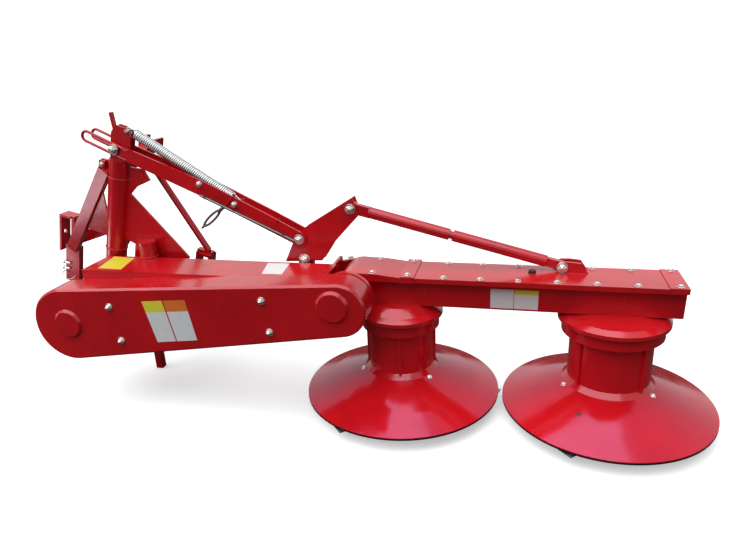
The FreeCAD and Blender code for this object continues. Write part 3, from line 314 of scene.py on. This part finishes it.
def noise(nodes, links, where, scale, detail=4.0, rough=0.55):
    """Cloudy noise over the object's own coordinates, from 0 to 1."""
    texture = nodes.new("ShaderNodeTexNoise")
    texture.inputs["Scale"].default_value = scale
    texture.inputs["Detail"].default_value = detail
    texture.inputs["Roughness"].default_value = rough
    links.new(where, texture.inputs["Vector"])
    return texture.outputs["Fac"]


def ramp(nodes, links, value, low, high, out_low, out_high):
    """Map a value from one range to another, held at both ends."""
    node = nodes.new("ShaderNodeMapRange")
    for name, amount in (("From Min", low), ("From Max", high), ("To Min", out_low), ("To Max", out_high)):
        node.inputs[name].default_value = amount
    links.new(value, node.inputs["Value"])
    return node.outputs["Result"]


def mix(nodes, links, factor, first, second):
    """Blend two colours by a factor. Either colour may be a socket or three numbers."""
    node = nodes.new("ShaderNodeMix")
    node.data_type = "RGBA"
    links.new(factor, node.inputs["Factor"])
    for socket, colour in ((node.inputs[6], first), (node.inputs[7], second)):
        if isinstance(colour, bpy.types.NodeSocket):
            links.new(colour, socket)
        else:
            socket.default_value = (*colour, 1)
    return node.outputs[2]


def bump(nodes, links, shader, height, strength, distance, before=None):
    """Raise a height over the surface, on top of an earlier bump where one is given."""
    node = nodes.new("ShaderNodeBump")
    node.inputs["Strength"].default_value = strength
    node.inputs["Distance"].default_value = distance
    links.new(height, node.inputs["Height"])
    if before:
        links.new(before, node.inputs["Normal"])
    links.new(node.outputs["Normal"], shader.inputs["Normal"])
    return node.outputs["Normal"]


def paint(name, colour, dust=0.10, gloss=0.16, peel=0.12, painted_shade_below=None, sheen=(0.80, 0.84, 1.0)):
    """Sprayed gloss paint: the colour drifts slowly, dust dulls it in patches, and the coat has a fine peel.
    Below a height, where one is given, it is near black: painted shade under the rim."""
    finish, nodes, links, shader, where = material(name)
    colour = np.array(colour[:3])
    drift = ramp(nodes, links, noise(nodes, links, where, 5.0, 3.0), 0.3, 0.7, 0.0, 1.0)
    base = mix(nodes, links, drift, colour * 0.86, np.minimum(colour * 1.10, 1))
    specks = ramp(nodes, links, noise(nodes, links, where, 160.0, 8.0, 0.75), 0.60, 0.80, 0.0, dust)
    base = mix(nodes, links, specks, base, tuple(colour * 0.6 + 0.12))
    if painted_shade_below is not None:
        # Painted shade: below the given height the colour goes near black, standing in for the shadow under
        # the disc's rim.
        parts = nodes.new("ShaderNodeSeparateXYZ")
        links.new(where, parts.inputs["Vector"])
        low = ramp(nodes, links, parts.outputs["Z"], painted_shade_below - 0.0005, painted_shade_below, 1.0, 0.0)
        base = mix(nodes, links, low, base, (0.012, 0.010, 0.010))
    links.new(base, shader.inputs["Base Color"])
    patches = noise(nodes, links, where, 12.0, 6.0, 0.65)
    links.new(ramp(nodes, links, patches, 0.35, 0.75, gloss, gloss + 0.16), shader.inputs["Roughness"])
    shader.inputs["IOR"].default_value = 1.5
    shader.inputs["Specular Tint"].default_value = (*sheen, 1)
    shader.inputs["Coat Weight"].default_value = 0.15
    shader.inputs["Coat Roughness"].default_value = 0.06
    waves = bump(nodes, links, shader, noise(nodes, links, where, 9.0, 2.0), 0.10, 0.012)
    bump(nodes, links, shader, noise(nodes, links, where, 420.0, 2.0), peel, 0.0006, waves)
    return finish


def metal(name, colour, rough, drift=0.12, grain=90.0, pits=0.15):
    """Bare or plated metal: patches of brighter and duller colour, with a fine uneven surface."""
    finish, nodes, links, shader, where = material(name)
    colour = np.array(colour[:3])
    patch = ramp(nodes, links, noise(nodes, links, where, grain, 6.0, 0.7), 0.3, 0.7, 0.0, 1.0)
    links.new(mix(nodes, links, patch, colour * (1 - drift), np.minimum(colour * (1 + drift), 1)),
              shader.inputs["Base Color"])
    shader.inputs["Metallic"].default_value = 1.0
    links.new(ramp(nodes, links, patch, 0.0, 1.0, rough - 0.08, rough + 0.10), shader.inputs["Roughness"])
    bump(nodes, links, shader, noise(nodes, links, where, grain * 6, 3.0), pits, 0.0004)
    return finish


def worn_paint(name, colour, steel, level):
    """Paint over steel that is rubbed bare low down: bare where height plus noise falls under a level."""
    finish, nodes, links, shader, where = material(name)
    parts = nodes.new("ShaderNodeSeparateXYZ")
    links.new(where, parts.inputs["Vector"])
    rough = nodes.new("ShaderNodeMath")
    rough.operation = "MULTIPLY_ADD"
    links.new(noise(nodes, links, where, 26.0, 7.0, 0.7), rough.inputs[0])
    rough.inputs[1].default_value = -0.05
    links.new(parts.outputs["Z"], rough.inputs[2])
    bare = ramp(nodes, links, rough.outputs["Value"], level - 0.045, level - 0.02, 1.0, 0.0)
    links.new(mix(nodes, links, bare, tuple(colour[:3]), steel), shader.inputs["Base Color"])
    links.new(ramp(nodes, links, bare, 0, 1, 0.0, 0.9), shader.inputs["Metallic"])
    links.new(ramp(nodes, links, bare, 0, 1, 0.30, 0.42), shader.inputs["Roughness"])
    bump(nodes, links, shader, noise(nodes, links, where, 300.0, 4.0), 0.2, 0.0005)
    return finish


def film(name, colour):
    """Printed foil: nearly even colour with faint smudges, half gloss."""
    finish, nodes, links, shader, where = material(name)
    colour = np.array(colour[:3])
    smudge = ramp(nodes, links, noise(nodes, links, where, 40.0, 5.0, 0.6), 0.45, 0.75, 0.0, 0.5)
    links.new(mix(nodes, links, smudge, tuple(colour), tuple(colour * 0.82)), shader.inputs["Base Color"])
    links.new(ramp(nodes, links, smudge, 0.0, 0.5, 0.28, 0.45), shader.inputs["Roughness"])
    shader.inputs["Coat Weight"].default_value = 0.2
    bump(nodes, links, shader, noise(nodes, links, where, 250.0, 2.0), 0.05, 0.0003)
    return finish


FINISH = {}
BLACK_ZINC = (0.13, 0.14, 0.135)
BLACK_STEEL = (0.06, 0.06, 0.065)
BLADE_STEEL = (0.30, 0.28, 0.27)
WORN_STEEL = (0.35, 0.33, 0.31)
CAST_IRON = (0.25, 0.25, 0.26)

# CAD nodes by the finish they take; every node that isn't named here is painted as the frame is.
NODE_FINISH = {
    "drum": ("drum_inner", "drum_outer", "drum_cap_inner", "drum_cap_outer"),
    "disc": ("disc_inner", "disc_outer"),
    "zinc": ("clevis_pin", "crank_pins", "boom_bolts", "head_pins", "post_pin", "input_shaft"),
    "galvanised": ("relief_spring",),
    "black_zinc": ("latch_rod",),
    "blade": ("knives_inner", "knives_outer"),
    "skid": ("skid_inner", "skid_outer"),
    "iron": ("gear_train",),
}


class MowerColours(PropertyGroup):
    """Colours and coats that a user would change."""

    red: FloatVectorProperty(name="Frame red", description="Colour of the sprayed frame paint", size=3,
                             subtype="COLOR", min=0, max=1, default=(0.56, 0.006, 0.010))
    drum_red: FloatVectorProperty(name="Drum red", description="Colour of drums and discs", size=3,
                                  subtype="COLOR", min=0, max=1, default=(0.60, 0.007, 0.012))
    zinc: FloatVectorProperty(name="Zinc", description="Colour of plated nuts and pins", size=3,
                              subtype="COLOR", min=0, max=1, default=(0.66, 0.65, 0.62))
    galvanised: FloatVectorProperty(name="Spring", description="Colour of the galvanised spring", size=3,
                                    subtype="COLOR", min=0, max=1, default=(0.60, 0.64, 0.64))
    sign_white: FloatVectorProperty(name="Sign white", description="Colour of the signs' blank field", size=3,
                                    subtype="COLOR", min=0, max=1, default=(0.80, 0.81, 0.82))
    sign_yellow: FloatVectorProperty(name="Sign yellow", description="Colour of the yellow headers", size=3,
                                     subtype="COLOR", min=0, max=1, default=(0.84, 0.76, 0.06))
    sign_orange: FloatVectorProperty(name="Sign orange", description="Colour of the orange header", size=3,
                                     subtype="COLOR", min=0, max=1, default=(0.80, 0.20, 0.03))
    dust: FloatProperty(name="Dust", description="How much dust dulls the paint", min=0, max=1, default=0.10,
                        subtype="FACTOR")


class MowerFixings(PropertyGroup):
    """Sizes of bolts, spring and signs that a user would change."""

    lid_first: FloatProperty(name="First lid bolt", description="Place of the lid's first front bolt along X",
                             unit="LENGTH", default=-0.088)
    lid_pitch: FloatProperty(name="Lid bolt pitch", description="Distance between the lid's bolts",
                             unit="LENGTH", default=0.1335)
    lid_count: IntProperty(name="Lid bolts", description="Bolts in the lid's front row", default=9, min=1)
    lid_row: FloatProperty(name="Lid bolt row", description="Distance of the bolt rows from the bar's middle",
                           unit="LENGTH", default=0.081)
    lid_head: FloatProperty(name="Lid bolt size", description="Width of the lid bolts' heads over the flats",
                            unit="LENGTH", default=0.016)
    spring_wire: FloatProperty(name="Spring wire", description="Diameter of the spring's wire",
                               unit="LENGTH", default=0.0074)
    spring_round: FloatProperty(name="Spring radius", description="Outer radius of the relief spring",
                                unit="LENGTH", default=0.021)


def colours():
    """The colours as they are set in the scene."""
    return bpy.context.scene.mower_colours


def fixings():
    """The sizes as they are set in the scene."""
    return bpy.context.scene.mower_fixings


class MOWER_OT_finishes(Operator):
    """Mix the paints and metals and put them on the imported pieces"""

    bl_idname = "mower.finishes"
    bl_label = "Finishes"

    def execute(self, context):
        tone = colours()
        dust = tone.dust * 0.8
        FINISH["frame"] = paint("frame_paint", tone.red, tone.dust)
        FINISH["drum"] = paint("drum_paint", tone.drum_red, dust, gloss=0.12, peel=0.10)
        # The discs' rim below 0.0615 m is painted near black: painted shade under the rim.
        FINISH["disc"] = paint("disc_paint", tone.drum_red, dust, gloss=0.10, peel=0.06, painted_shade_below=0.0615,
                               sheen=(0.45, 0.42, 1.0))
        FINISH["zinc"] = metal("zinc_plate", tone.zinc, rough=0.30)
        FINISH["galvanised"] = metal("galvanised_wire", tone.galvanised, rough=0.38, drift=0.18, grain=140.0,
                                     pits=0.25)
        FINISH["black_zinc"] = metal("black_zinc", BLACK_ZINC, rough=0.34, drift=0.2)
        FINISH["dark"] = metal("black_steel", BLACK_STEEL, rough=0.45, drift=0.3)
        FINISH["blade"] = metal("blade_steel", BLADE_STEEL, rough=0.40, drift=0.3, grain=60.0, pits=0.3)
        FINISH["iron"] = metal("cast_iron", CAST_IRON, rough=0.60, drift=0.2, grain=60.0, pits=0.5)
        FINISH["skid"] = worn_paint("skid_paint", tone.red, WORN_STEEL, level=0.012)
        FINISH["white"] = film("sign_field", tone.sign_white)
        FINISH["yellow"] = film("sign_yellow", tone.sign_yellow)
        FINISH["orange"] = film("sign_orange", tone.sign_orange)
        chosen = {node: finish for finish, nodes in NODE_FINISH.items() for node in nodes}
        for name, node in frame["nodes"].items():
            node.data.materials.clear()
            node.data.materials.append(FINISH[chosen.get(name, "frame")])
        return {"FINISHED"}


class MOWER_OT_guard_trim(Operator):
    """Add the cap nuts of the belt guard"""

    bl_idname = "mower.guard_trim"
    bl_label = "Guard nuts"

    def execute(self, context):
        out = (0, -1, 0)
        # X and Z on the guard's face
        spots = ((-1.0838, 0.4705), (-1.0584, 0.3284), (-0.4487, 0.5297), (-0.4294, 0.4064))
        nuts = [part for x, z in spots for part in acorn((x, GUARD_FACE, z), out, 0.019, x * 7)]
        piece("guard_cap_nuts", nuts, FINISH["zinc"], "main_frame")
        return {"FINISHED"}


class MOWER_OT_lid_trim(Operator):
    """Add the lid's bolts, the end cap's bolts and the filler plug"""

    bl_idname = "mower.lid_trim"
    bl_label = "Lid bolts"

    def execute(self, context):
        size = fixings()
        # The rows keep clear of the lid's hinge end, which passes the hinge ear when the bar lifts.
        first_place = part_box("beam_lid")[0].x + 0.024
        strap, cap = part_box("lid_strap"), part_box("end_cap")
        front = size.lid_first + size.lid_pitch * np.arange(size.lid_count)
        back = size.lid_first + size.lid_pitch * np.arange(-1, size.lid_count)
        heads = []
        for row, places in ((-size.lid_row, front), (size.lid_row, back)):
            for count, x in enumerate(np.maximum(places, first_place)):
                level = LID_TOP + lid_hump(x)
                if strap[0].x < x < strap[1].x:
                    level = LID_TOP + STRAP_THICK
                if x > cap[0].x:
                    level = cap[1].z
                heads += bolt((x, row, level), UP, size.lid_head, count * 0.9, disc=0.0125, tall=0.0062)
        piece("lid_bolts", heads, FINISH["zinc"], "mower_bar")
        filler = (0.4955, 0.014, LID_TOP)
        plug = [set_at(washer(0.015), filler, UP), set_at(hexagon(0.022, 0.009, WASHER_THICK), filler, UP)]
        piece("filler_plug", plug, FINISH["dark"], "mower_bar")
        return {"FINISHED"}


class MOWER_OT_signs(Operator):
    """Add the blank signs on the guard, the bar and the main beam"""

    bl_idname = "mower.signs"
    bl_label = "Blank signs"

    def execute(self, context):
        # X and Z on the guard's face, for both halves of the sign
        corners = ((-0.938, 0.5011), (-0.7556, 0.5162), (-0.7279, 0.3532), (-0.8985, 0.3329))
        face = [np.array((x, GUARD_FACE, z)) for x, z in corners]
        for name, left, right, header in (("sign_guard_left", 0.0, 0.47, "yellow"),
                                          ("sign_guard_right", 0.50, 1.0, "orange")):
            self.sign(name, face, left, right, 0.27, header, (0, -FILM_THICK, 0), "main_frame")

        # The bar's side leans: its front is Y at a height, less the slope for every metre above it.
        side_y, side_z, slope = -0.0603, 0.440, 8.0 / 107.0
        low, high = 0.447, 0.524
        bottom, top = (side_y - (height - side_z) * slope for height in (low, high))
        left, middle, right = 0.350, 0.434, 0.520
        gap = 0.001
        for name, start, stop, header in (("sign_bar_left", left, middle - gap, None),
                                          ("sign_bar_right", middle + gap, right, "yellow")):
            face = [np.array(one) for one in ((start, top, high), (stop, top, high),
                                              (stop, bottom, low), (start, bottom, low))]
            self.sign(name, face, 0, 1, 0.24, header, (0, -FILM_THICK, 0), "mower_bar")

        # X and Y on the main beam's top
        inner = ((-1.2392, -0.0089), (-1.1352, -0.020), (-1.106, -0.158), (-1.2128, -0.155))
        outer = ((-0.5326, -0.0171), (-0.4408, -0.0143), (-0.4275, -0.1376), (-0.5078, -0.140))
        for name, corners, header in (("sign_beam_inner", inner, "all yellow"),
                                      ("sign_beam_outer", outer, None)):
            face = [np.array((x, y, BEAM_TOP)) for x, y in corners]
            self.sign(name, face, 0, 1, 0.3, header, (0, 0, FILM_THICK), "main_frame")
        return {"FINISHED"}

    def sign(self, name, corners, left, right, split, header, lift, body):
        """A film between two shares of the corners' width: the header covers the share above the split."""
        top_left, top_right, low_right, low_left = corners

        def spot(across, down):
            top = top_left + (top_right - top_left) * across
            low = low_left + (low_right - low_left) * across
            return top + (low - top) * down

        lift = np.array(lift)
        if header == "all yellow":
            field, header = FINISH["yellow"], None
        else:
            field = FINISH["white"]
        start = split if header else 0.0
        quad = [spot(left, start), spot(right, start), spot(right, 1), spot(left, 1)]
        piece(name, [slab(quad, lift)], field, body)
        if header:
            quad = [spot(left, 0), spot(right, 0), spot(right, start), spot(left, start)]
            piece(name + "_header", [slab(quad, lift)], FINISH[header], body)


class MOWER_OT_linkage_trim(Operator):
    """Add the nuts and heads of the linkage's pins and bolts"""

    bl_idname = "mower.linkage_trim"
    bl_label = "Linkage nuts"

    def execute(self, context):
        back, front = (0, -1, 0), (0, 1, 0)
        pin_round = 0.011
        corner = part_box("crank_pins")[1]
        rod_place = np.array((corner.x - pin_round, MID_PLANE, corner.z - pin_round))
        # name, body, washer's radius over the nut's width, then each pin's place, reach and nut's width
        sets = (
            ("crank_nuts", "bell_crank", 0.78, ((joint_place("crank_turn"), 0.025, 0.030),
                                                (BOOM_PIN, 0.039, 0.026), (rod_place, 0.025, 0.026))),
            ("head_nuts", "post", 0.78, ((HEAD_PIN, 0.036, 0.028),)),
            ("clevis_nuts", "mower_bar", 0.78, ((joint_place("rod_swing"), 0.025, 0.026),)),
            ("boom_nuts", "boom", 0.60, [(on_boom(along, MID_PLANE, up), 0.035, 0.020)
                                         for along, up in BOOM_BOLTS]),
        )
        for name, body, rim, places in sets:
            heads = []
            for place, reach, across in places:
                near = np.array((place[0], MID_PLANE - reach, place[2]))
                far = np.array((place[0], MID_PLANE + reach, place[2]))
                heads += nut(near, back, across, place[0] * 9, disc=across * rim, tail=0.007)
                heads += bolt(far, front, across, place[2] * 9, disc=across * rim, tall=across * 0.4)
            piece(name, heads, FINISH["zinc"], body)
        self.latch()
        return {"FINISHED"}

    def latch(self):
        """The latch rod's pull ring, an ellipse C + cos a L + sin a W, with its holder and the two
        clips round the boom."""
        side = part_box("boom_near")[0].y
        rod_y = side - 0.009
        wire, half_wide = 0.0052, 0.0105
        begin, near, far = (np.array((x, rod_y, z))
                            for x, z in ((-0.7040, 0.7960), (-0.7255, 0.7800), (-0.8000, 0.7170)))
        long = (far - near) / 2
        way = long / np.linalg.norm(long)
        across = np.cross(way, FORWARD)
        turn = np.linspace(0, TAU, 48, endpoint=False)[:, None]
        oval = (near + far) / 2 + np.cos(turn) * long + np.sin(turn) * across * half_wide
        pull = [tube(oval, wire, 10, FORWARD, True), tube([far, far + way * 0.016], wire, 10, FORWARD)]
        piece("latch_pull", pull, FINISH["black_zinc"], "boom")
        tip = near + way * 0.004
        holder = [tube([begin, tip], 0.0075, 12, FORWARD), set_at(dome(0.0085, 0.006), tip, way)]
        piece("latch_holder", holder, FINISH["black_zinc"], "boom")
        # X and Z of each clip's upper and lower end on the boom's side, and half its width
        clips = []
        for top, low, wide in (((-0.664, 0.838), (-0.709, 0.789), 0.005),
                               ((-0.479, 0.752), (-0.499, 0.723), 0.002)):
            corners = [(top[0] - wide, side, top[1]), (top[0] + wide, side, top[1]),
                       (low[0] + wide, side, low[1]), (low[0] - wide, side, low[1])]
            clips.append(slab(corners, (0, -0.0028, 0)))
        piece("boom_clips", clips, FINISH["frame"], "boom", bevel=0.0006)


class MOWER_OT_hitch_trim(Operator):
    """Add the headstock's two stored pins with their ring, and the bolt of the left leg's ear"""

    bl_idname = "mower.hitch_trim"
    bl_label = "Hitch trim"

    def execute(self, context):
        pin_y, half_long = 0.170, 0.017
        parts = []
        for across, up in ((-0.339, -0.114), (-0.341, -0.143)):
            start, end = (on_post(across + reach, pin_y, up) for reach in (-half_long, half_long))
            parts.append(tube([start, end], 0.0055, 12, FORWARD))
            parts.append(tube([start, start + POST_RIGHT * 0.006], 0.0085, 12, FORWARD))
        ring = ring_path(on_post(-0.326, 0.166, -0.172), post_way(0.16, -0.42, 0.88), 0.030, 72)
        parts.append(tube(ring, 0.0024, 8, POST_UP, True))
        piece("stored_pins", parts, FINISH["zinc"], "hitch_frame")
        ear = bolt(on_post(-0.066, 0.024, 0.459), -FORWARD, 0.015, 0.4, disc=0.011)
        piece("ear_bolt", ear, FINISH["zinc"], "hitch_frame")
        return {"FINISHED"}


class MOWER_OT_spring(Operator):
    """Wind the relief spring and bend its hooks"""

    bl_idname = "mower.spring"
    bl_label = "Relief spring"

    def execute(self, context):
        """The coil is a helix S + s (E - S) + r (cos a U + sin a Y) with a = 2 pi n s."""
        size = fixings()
        wire = size.spring_wire / 2
        middle = size.spring_round - wire
        start, end = on_boom(0.058, MID_PLANE, 0.088), on_boom(0.515, MID_PLANE, 0.025)
        along = (end - start) / np.linalg.norm(end - start)
        above = np.cross(along, FORWARD)
        pitch = size.spring_wire * 1.12
        turns = int(np.linalg.norm(end - start) / pitch)
        share = np.linspace(0, 1, turns * 22 + 1)[:, None]
        turn = share * TAU * turns
        helix = start + share * (end - start) + middle * (np.cos(turn) * above + np.sin(turn) * FORWARD)
        coil = tube(helix, wire, 8, along)
        bolt_along, bolt_up = BOOM_BOLTS[1]
        lower = self.hook(end, along, above, on_boom(bolt_along, MID_PLANE, bolt_up), 0.009, middle, wire)
        thing = piece("relief_spring_wire", [coil, lower], FINISH["galvanised"], "boom", 60)
        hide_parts("relief_spring")
        anchor = on_post(0.040, MID_PLANE, 0.622)
        upper = self.hook(start, -along, above, anchor, 0.007, middle, wire)
        piece("relief_spring_hook", [upper], FINISH["galvanised"], "post", 60)
        return {"FINISHED"}

    def hook(self, start, along, above, pin, pin_round, middle, wire):
        """From the coil's rim in to the middle, straight on, and round the pin in an arc."""
        play, draw_in = 0.0006, 0.6
        radius = pin_round + wire + play
        inward = pin - start
        inward = inward / np.linalg.norm(inward)
        side = np.cross(inward, FORWARD)
        if side @ above < 0:
            side = -side
        rim = start + above * middle
        lead = rim + (arc(start, above, along, middle, 0, 60, 12) - rim) * draw_in
        bend = arc(pin, side, inward, radius, 0, 250, 36)
        gap = bend[0] - lead[-1]
        share = np.linspace(0, 1, 12)[1:-1, None]
        return tube(np.concatenate([lead, lead[-1] + share * gap, bend]), wire, 8, FORWARD)


class MOWER_OT_drum_trim(Operator):
    """Add the bolts of the drums' feet, and a dark dome in the outer disc that is painted shade for a hole in
    it
    """

    bl_idname = "mower.drum_trim"
    bl_label = "Drum bolts"

    def execute(self, context):
        # The disc falls by this share of the way outwards from the drum's foot, whose radius is given.
        fall = 0.432
        inset = 0.010
        for side, foot in (("inner", 0.146), ("outer", 0.166)):
            low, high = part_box(f"disc_{side}")
            centre = np.array(((low.x + high.x) / 2, (low.y + high.y) / 2))
            heads = []
            for turn in np.radians((203, 324, 83)):
                out = np.array((math.cos(turn), math.sin(turn)))
                place = (*(centre + (foot + inset) * out), high.z - inset * fall)
                heads += bolt(place, (out[0] * fall, out[1] * fall, 1.0), 0.013, turn, disc=0.010, tall=0.005)
            piece(f"drum_bolts_{side}", heads, FINISH["zinc"], f"drum_{side}")
            if side == "outer":
                # A dark dome flush with the outer disc: painted shade where the disc has a hole.
                turn, reach = math.radians(241.6), 0.249
                out = np.array((math.cos(turn), math.sin(turn)))
                place = (*(centre + reach * out), high.z - (reach - foot) * fall)
                plug = set_at(dome(0.008, 0.0015), place, (out[0] * fall, out[1] * fall, 1.0))
                piece("disc_plug", [plug], FINISH["dark"], "drum_outer")
        return {"FINISHED"}


class MOWER_OT_welds(Operator):
    """Lay the weld beads that join the frame's plates and tubes"""

    bl_idname = "mower.welds"
    bl_label = "Welds"

    def execute(self, context):
        sleeve = 0.0425
        throat = 0.0028
        rings = [bead(ring_path(on_post(0, MID_PLANE, up), POST_UP, sleeve + 0.0005), throat, POST_UP, True)
                 for up in (0.103, 0.417)]
        low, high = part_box("stop_foot")
        foot = ((low.x + high.x) / 2, (low.y + high.y) / 2, low.z + 0.004)
        rings.append(bead(ring_path(foot, UP, (high.x - low.x) / 2), throat, UP, True))
        piece("sleeve_welds", rings, FINISH["frame"], "post")
        low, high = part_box("bar_clevis")
        runs = []
        for offset in (-0.0255, -0.0145, 0.0145, 0.0255):
            y = MID_PLANE + offset
            runs.append(bead(line((low.x + 0.004, y, LID_TOP), (high.x, y, LID_TOP)), 0.0022))
        piece("clevis_welds", runs, FINISH["frame"], "mower_bar")
        return {"FINISHED"}


class MOWER_OT_stage(Operator):
    """Set the floor, the soft lights and the camera at the photograph's angle"""

    bl_idname = "mower.stage"
    bl_label = "Stage"

    def execute(self, context):
        scene = context.scene
        self.floor(scene)
        self.backdrop(scene)
        self.lamps(scene)
        self.camera(scene)
        scene.view_settings.view_transform = "Standard"
        return {"FINISHED"}

    def floor(self, scene):
        """A square far wider than the view, just under the mower."""
        floor_mesh = bpy.data.meshes.new("floor")
        half, level = 400.0, -0.0005
        floor_mesh.from_pydata([(-half, -half, level), (half, -half, level), (half, half, level),
                                (-half, half, level)], [], [(0, 1, 2, 3)])
        floor = bpy.data.objects.new("floor", floor_mesh)
        scene.collection.objects.link(floor)
        floor_mesh.materials.append(self.floor_paint())

    def backdrop(self, scene):
        """White for the camera and in reflections, and a soft bluish light on everything else."""
        world = bpy.data.worlds.new("studio")
        scene.world = world
        world.use_nodes = True
        nodes, links = world.node_tree.nodes, world.node_tree.links
        soft = nodes["Background"]
        soft.inputs["Color"].default_value = (0.90, 0.94, 1.0, 1)
        soft.inputs["Strength"].default_value = 0.20
        white = nodes.new("ShaderNodeBackground")
        white.inputs["Color"].default_value = (1, 1, 1, 1)
        white.inputs["Strength"].default_value = 1.0
        rays = nodes.new("ShaderNodeLightPath")
        seen = rays.outputs["Is Camera Ray"]
        for kind in ("Is Glossy Ray", "Is Transmission Ray"):
            either = nodes.new("ShaderNodeMath")
            either.operation = "MAXIMUM"
            links.new(seen, either.inputs[0])
            links.new(rays.outputs[kind], either.inputs[1])
            seen = either.outputs[0]
        pick = nodes.new("ShaderNodeMixShader")
        links.new(seen, pick.inputs[0])
        links.new(soft.outputs[0], pick.inputs[1])
        links.new(white.outputs[0], pick.inputs[2])
        links.new(pick.outputs[0], nodes["World Output"].inputs["Surface"])

    def lamps(self, scene):
        """A wide soft sun from above, two side panels and a low card under the hitch."""
        sky = bpy.data.lights.new("sky", "SUN")
        sky.energy = 3.1
        sky.angle = math.radians(75)
        thing = bpy.data.objects.new("sky", sky)
        thing.rotation_euler = Vector((0.25, 0.30, -1.0)).to_track_quat("-Z", "Y").to_euler()
        scene.collection.objects.link(thing)

        # name, place, what it points at, width, height, power
        for name, place, aim, wide, deep, power in (
                ("left_panel", (-4.6, -2.6, 1.8), (-0.6, 0.0, 0.4), 1.2, 2.6, 14.0),
                ("right_panel", (3.8, -2.4, 2.0), (0.6, 0.0, 0.4), 1.0, 2.4, 8.0),
                ("low_card", (-2.75, -0.55, 0.03), (-1.39, 0.09, 0.73), 0.9, 0.9, 10.0)):
            lamp = bpy.data.lights.new(name, "AREA")
            lamp.shape = "RECTANGLE"
            lamp.size = wide
            lamp.size_y = deep
            lamp.energy = power
            thing = bpy.data.objects.new(name, lamp)
            thing.location = place
            thing.rotation_euler = (Vector(aim) - Vector(place)).to_track_quat("-Z", "Y").to_euler()
            scene.collection.objects.link(thing)

    def floor_paint(self):
        """A plain floor: the camera sees it pale with soft shadows, and it throws little light back up."""
        finish, nodes, links, shader, where = material("floor_paint")
        cloud = ramp(nodes, links, noise(nodes, links, where, 3.0, 3.0), 0.3, 0.7, 0.0, 1.0)
        pale_grey, paler_grey = (0.88, 0.88, 0.88), (0.92, 0.92, 0.92)
        links.new(mix(nodes, links, cloud, pale_grey, paler_grey), shader.inputs["Base Color"])
        shader.inputs["Roughness"].default_value = 0.9
        shader.inputs["Specular IOR Level"].default_value = 0.0
        glow = nodes.new("ShaderNodeEmission")
        glow.inputs["Color"].default_value = (1, 1, 1, 1)
        glow.inputs["Strength"].default_value = 0.45
        pale = nodes.new("ShaderNodeAddShader")
        links.new(shader.outputs[0], pale.inputs[0])
        links.new(glow.outputs[0], pale.inputs[1])
        dull = nodes.new("ShaderNodeBsdfDiffuse")
        dull.inputs["Color"].default_value = (0.06, 0.06, 0.06, 1)
        rays = nodes.new("ShaderNodeLightPath")
        pick = nodes.new("ShaderNodeMixShader")
        links.new(rays.outputs["Is Camera Ray"], pick.inputs[0])
        links.new(dull.outputs[0], pick.inputs[1])
        links.new(pale.outputs[0], pick.inputs[2])
        links.new(pick.outputs[0], nodes["Material Output"].inputs["Surface"])
        return finish

    def camera(self, scene):
        """The camera from its place, the direction it looks, its roll and its focal length."""
        place = (0.4412, -2.1829, 1.3609)
        azimuth, down, roll = (math.radians(one) for one in (13.859, 20.192, -2.506))
        focal_pixels, frame_pixels, sensor = 614.57, 750, 36.0
        flat = math.cos(down)
        ahead = Vector((-math.sin(azimuth) * flat, math.cos(azimuth) * flat, -math.sin(down)))
        level = ahead.cross(Vector((0, 0, 1))).normalized()
        upright = level.cross(ahead)
        right = level * math.cos(roll) + upright * math.sin(roll)
        top = right.cross(ahead)
        lens = bpy.data.cameras.new("camera")
        lens.lens = focal_pixels * sensor / frame_pixels
        lens.sensor_width = sensor
        lens.clip_end = 100
        camera = bpy.data.objects.new("camera", lens)
        turn = Matrix((right, top, -ahead)).transposed()
        camera.matrix_world = Matrix.Translation(place) @ turn.to_4x4()
        scene.collection.objects.link(camera)
        scene.camera = camera


class MOWER_PT_panel(Panel):
    """Shows the mower's colours, sizes and steps in the sidebar"""

    bl_label = "Drum mower"
    bl_idname = "MOWER_PT_panel"
    bl_space_type = "VIEW_3D"
    bl_region_type = "UI"
    bl_category = "Mower"

    def draw(self, context):
        layout = self.layout
        for group in (context.scene.mower_colours, context.scene.mower_fixings):
            for name in group.bl_rna.properties.keys():
                if name not in ("rna_type", "name"):
                    layout.prop(group, name)
        for step in STEPS:
            layout.operator(step.bl_idname)


STEPS = (
    MOWER_OT_finishes,
    MOWER_OT_guard_trim,
    MOWER_OT_lid_trim,
    MOWER_OT_signs,
    MOWER_OT_linkage_trim,
    MOWER_OT_hitch_trim,
    MOWER_OT_spring,
    MOWER_OT_drum_trim,
    MOWER_OT_welds,
    MOWER_OT_stage,
)
CLASSES = (MowerColours, MowerFixings, *STEPS, MOWER_PT_panel)


def register():
    """Register the classes and hang the settings on the scene."""
    for one in CLASSES:
        bpy.utils.register_class(one)
    bpy.types.Scene.mower_colours = PointerProperty(type=MowerColours)
    bpy.types.Scene.mower_fixings = PointerProperty(type=MowerFixings)


def unregister():
    """Take the settings and the classes away again."""
    del bpy.types.Scene.mower_fixings
    del bpy.types.Scene.mower_colours
    for one in reversed(CLASSES):
        bpy.utils.unregister_class(one)


def main():
    """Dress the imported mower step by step."""
    register()
    for step in STEPS:
        group, name = step.bl_idname.split(".")
        getattr(getattr(bpy.ops, group), name)()


if __name__ == "__main__":
    main()
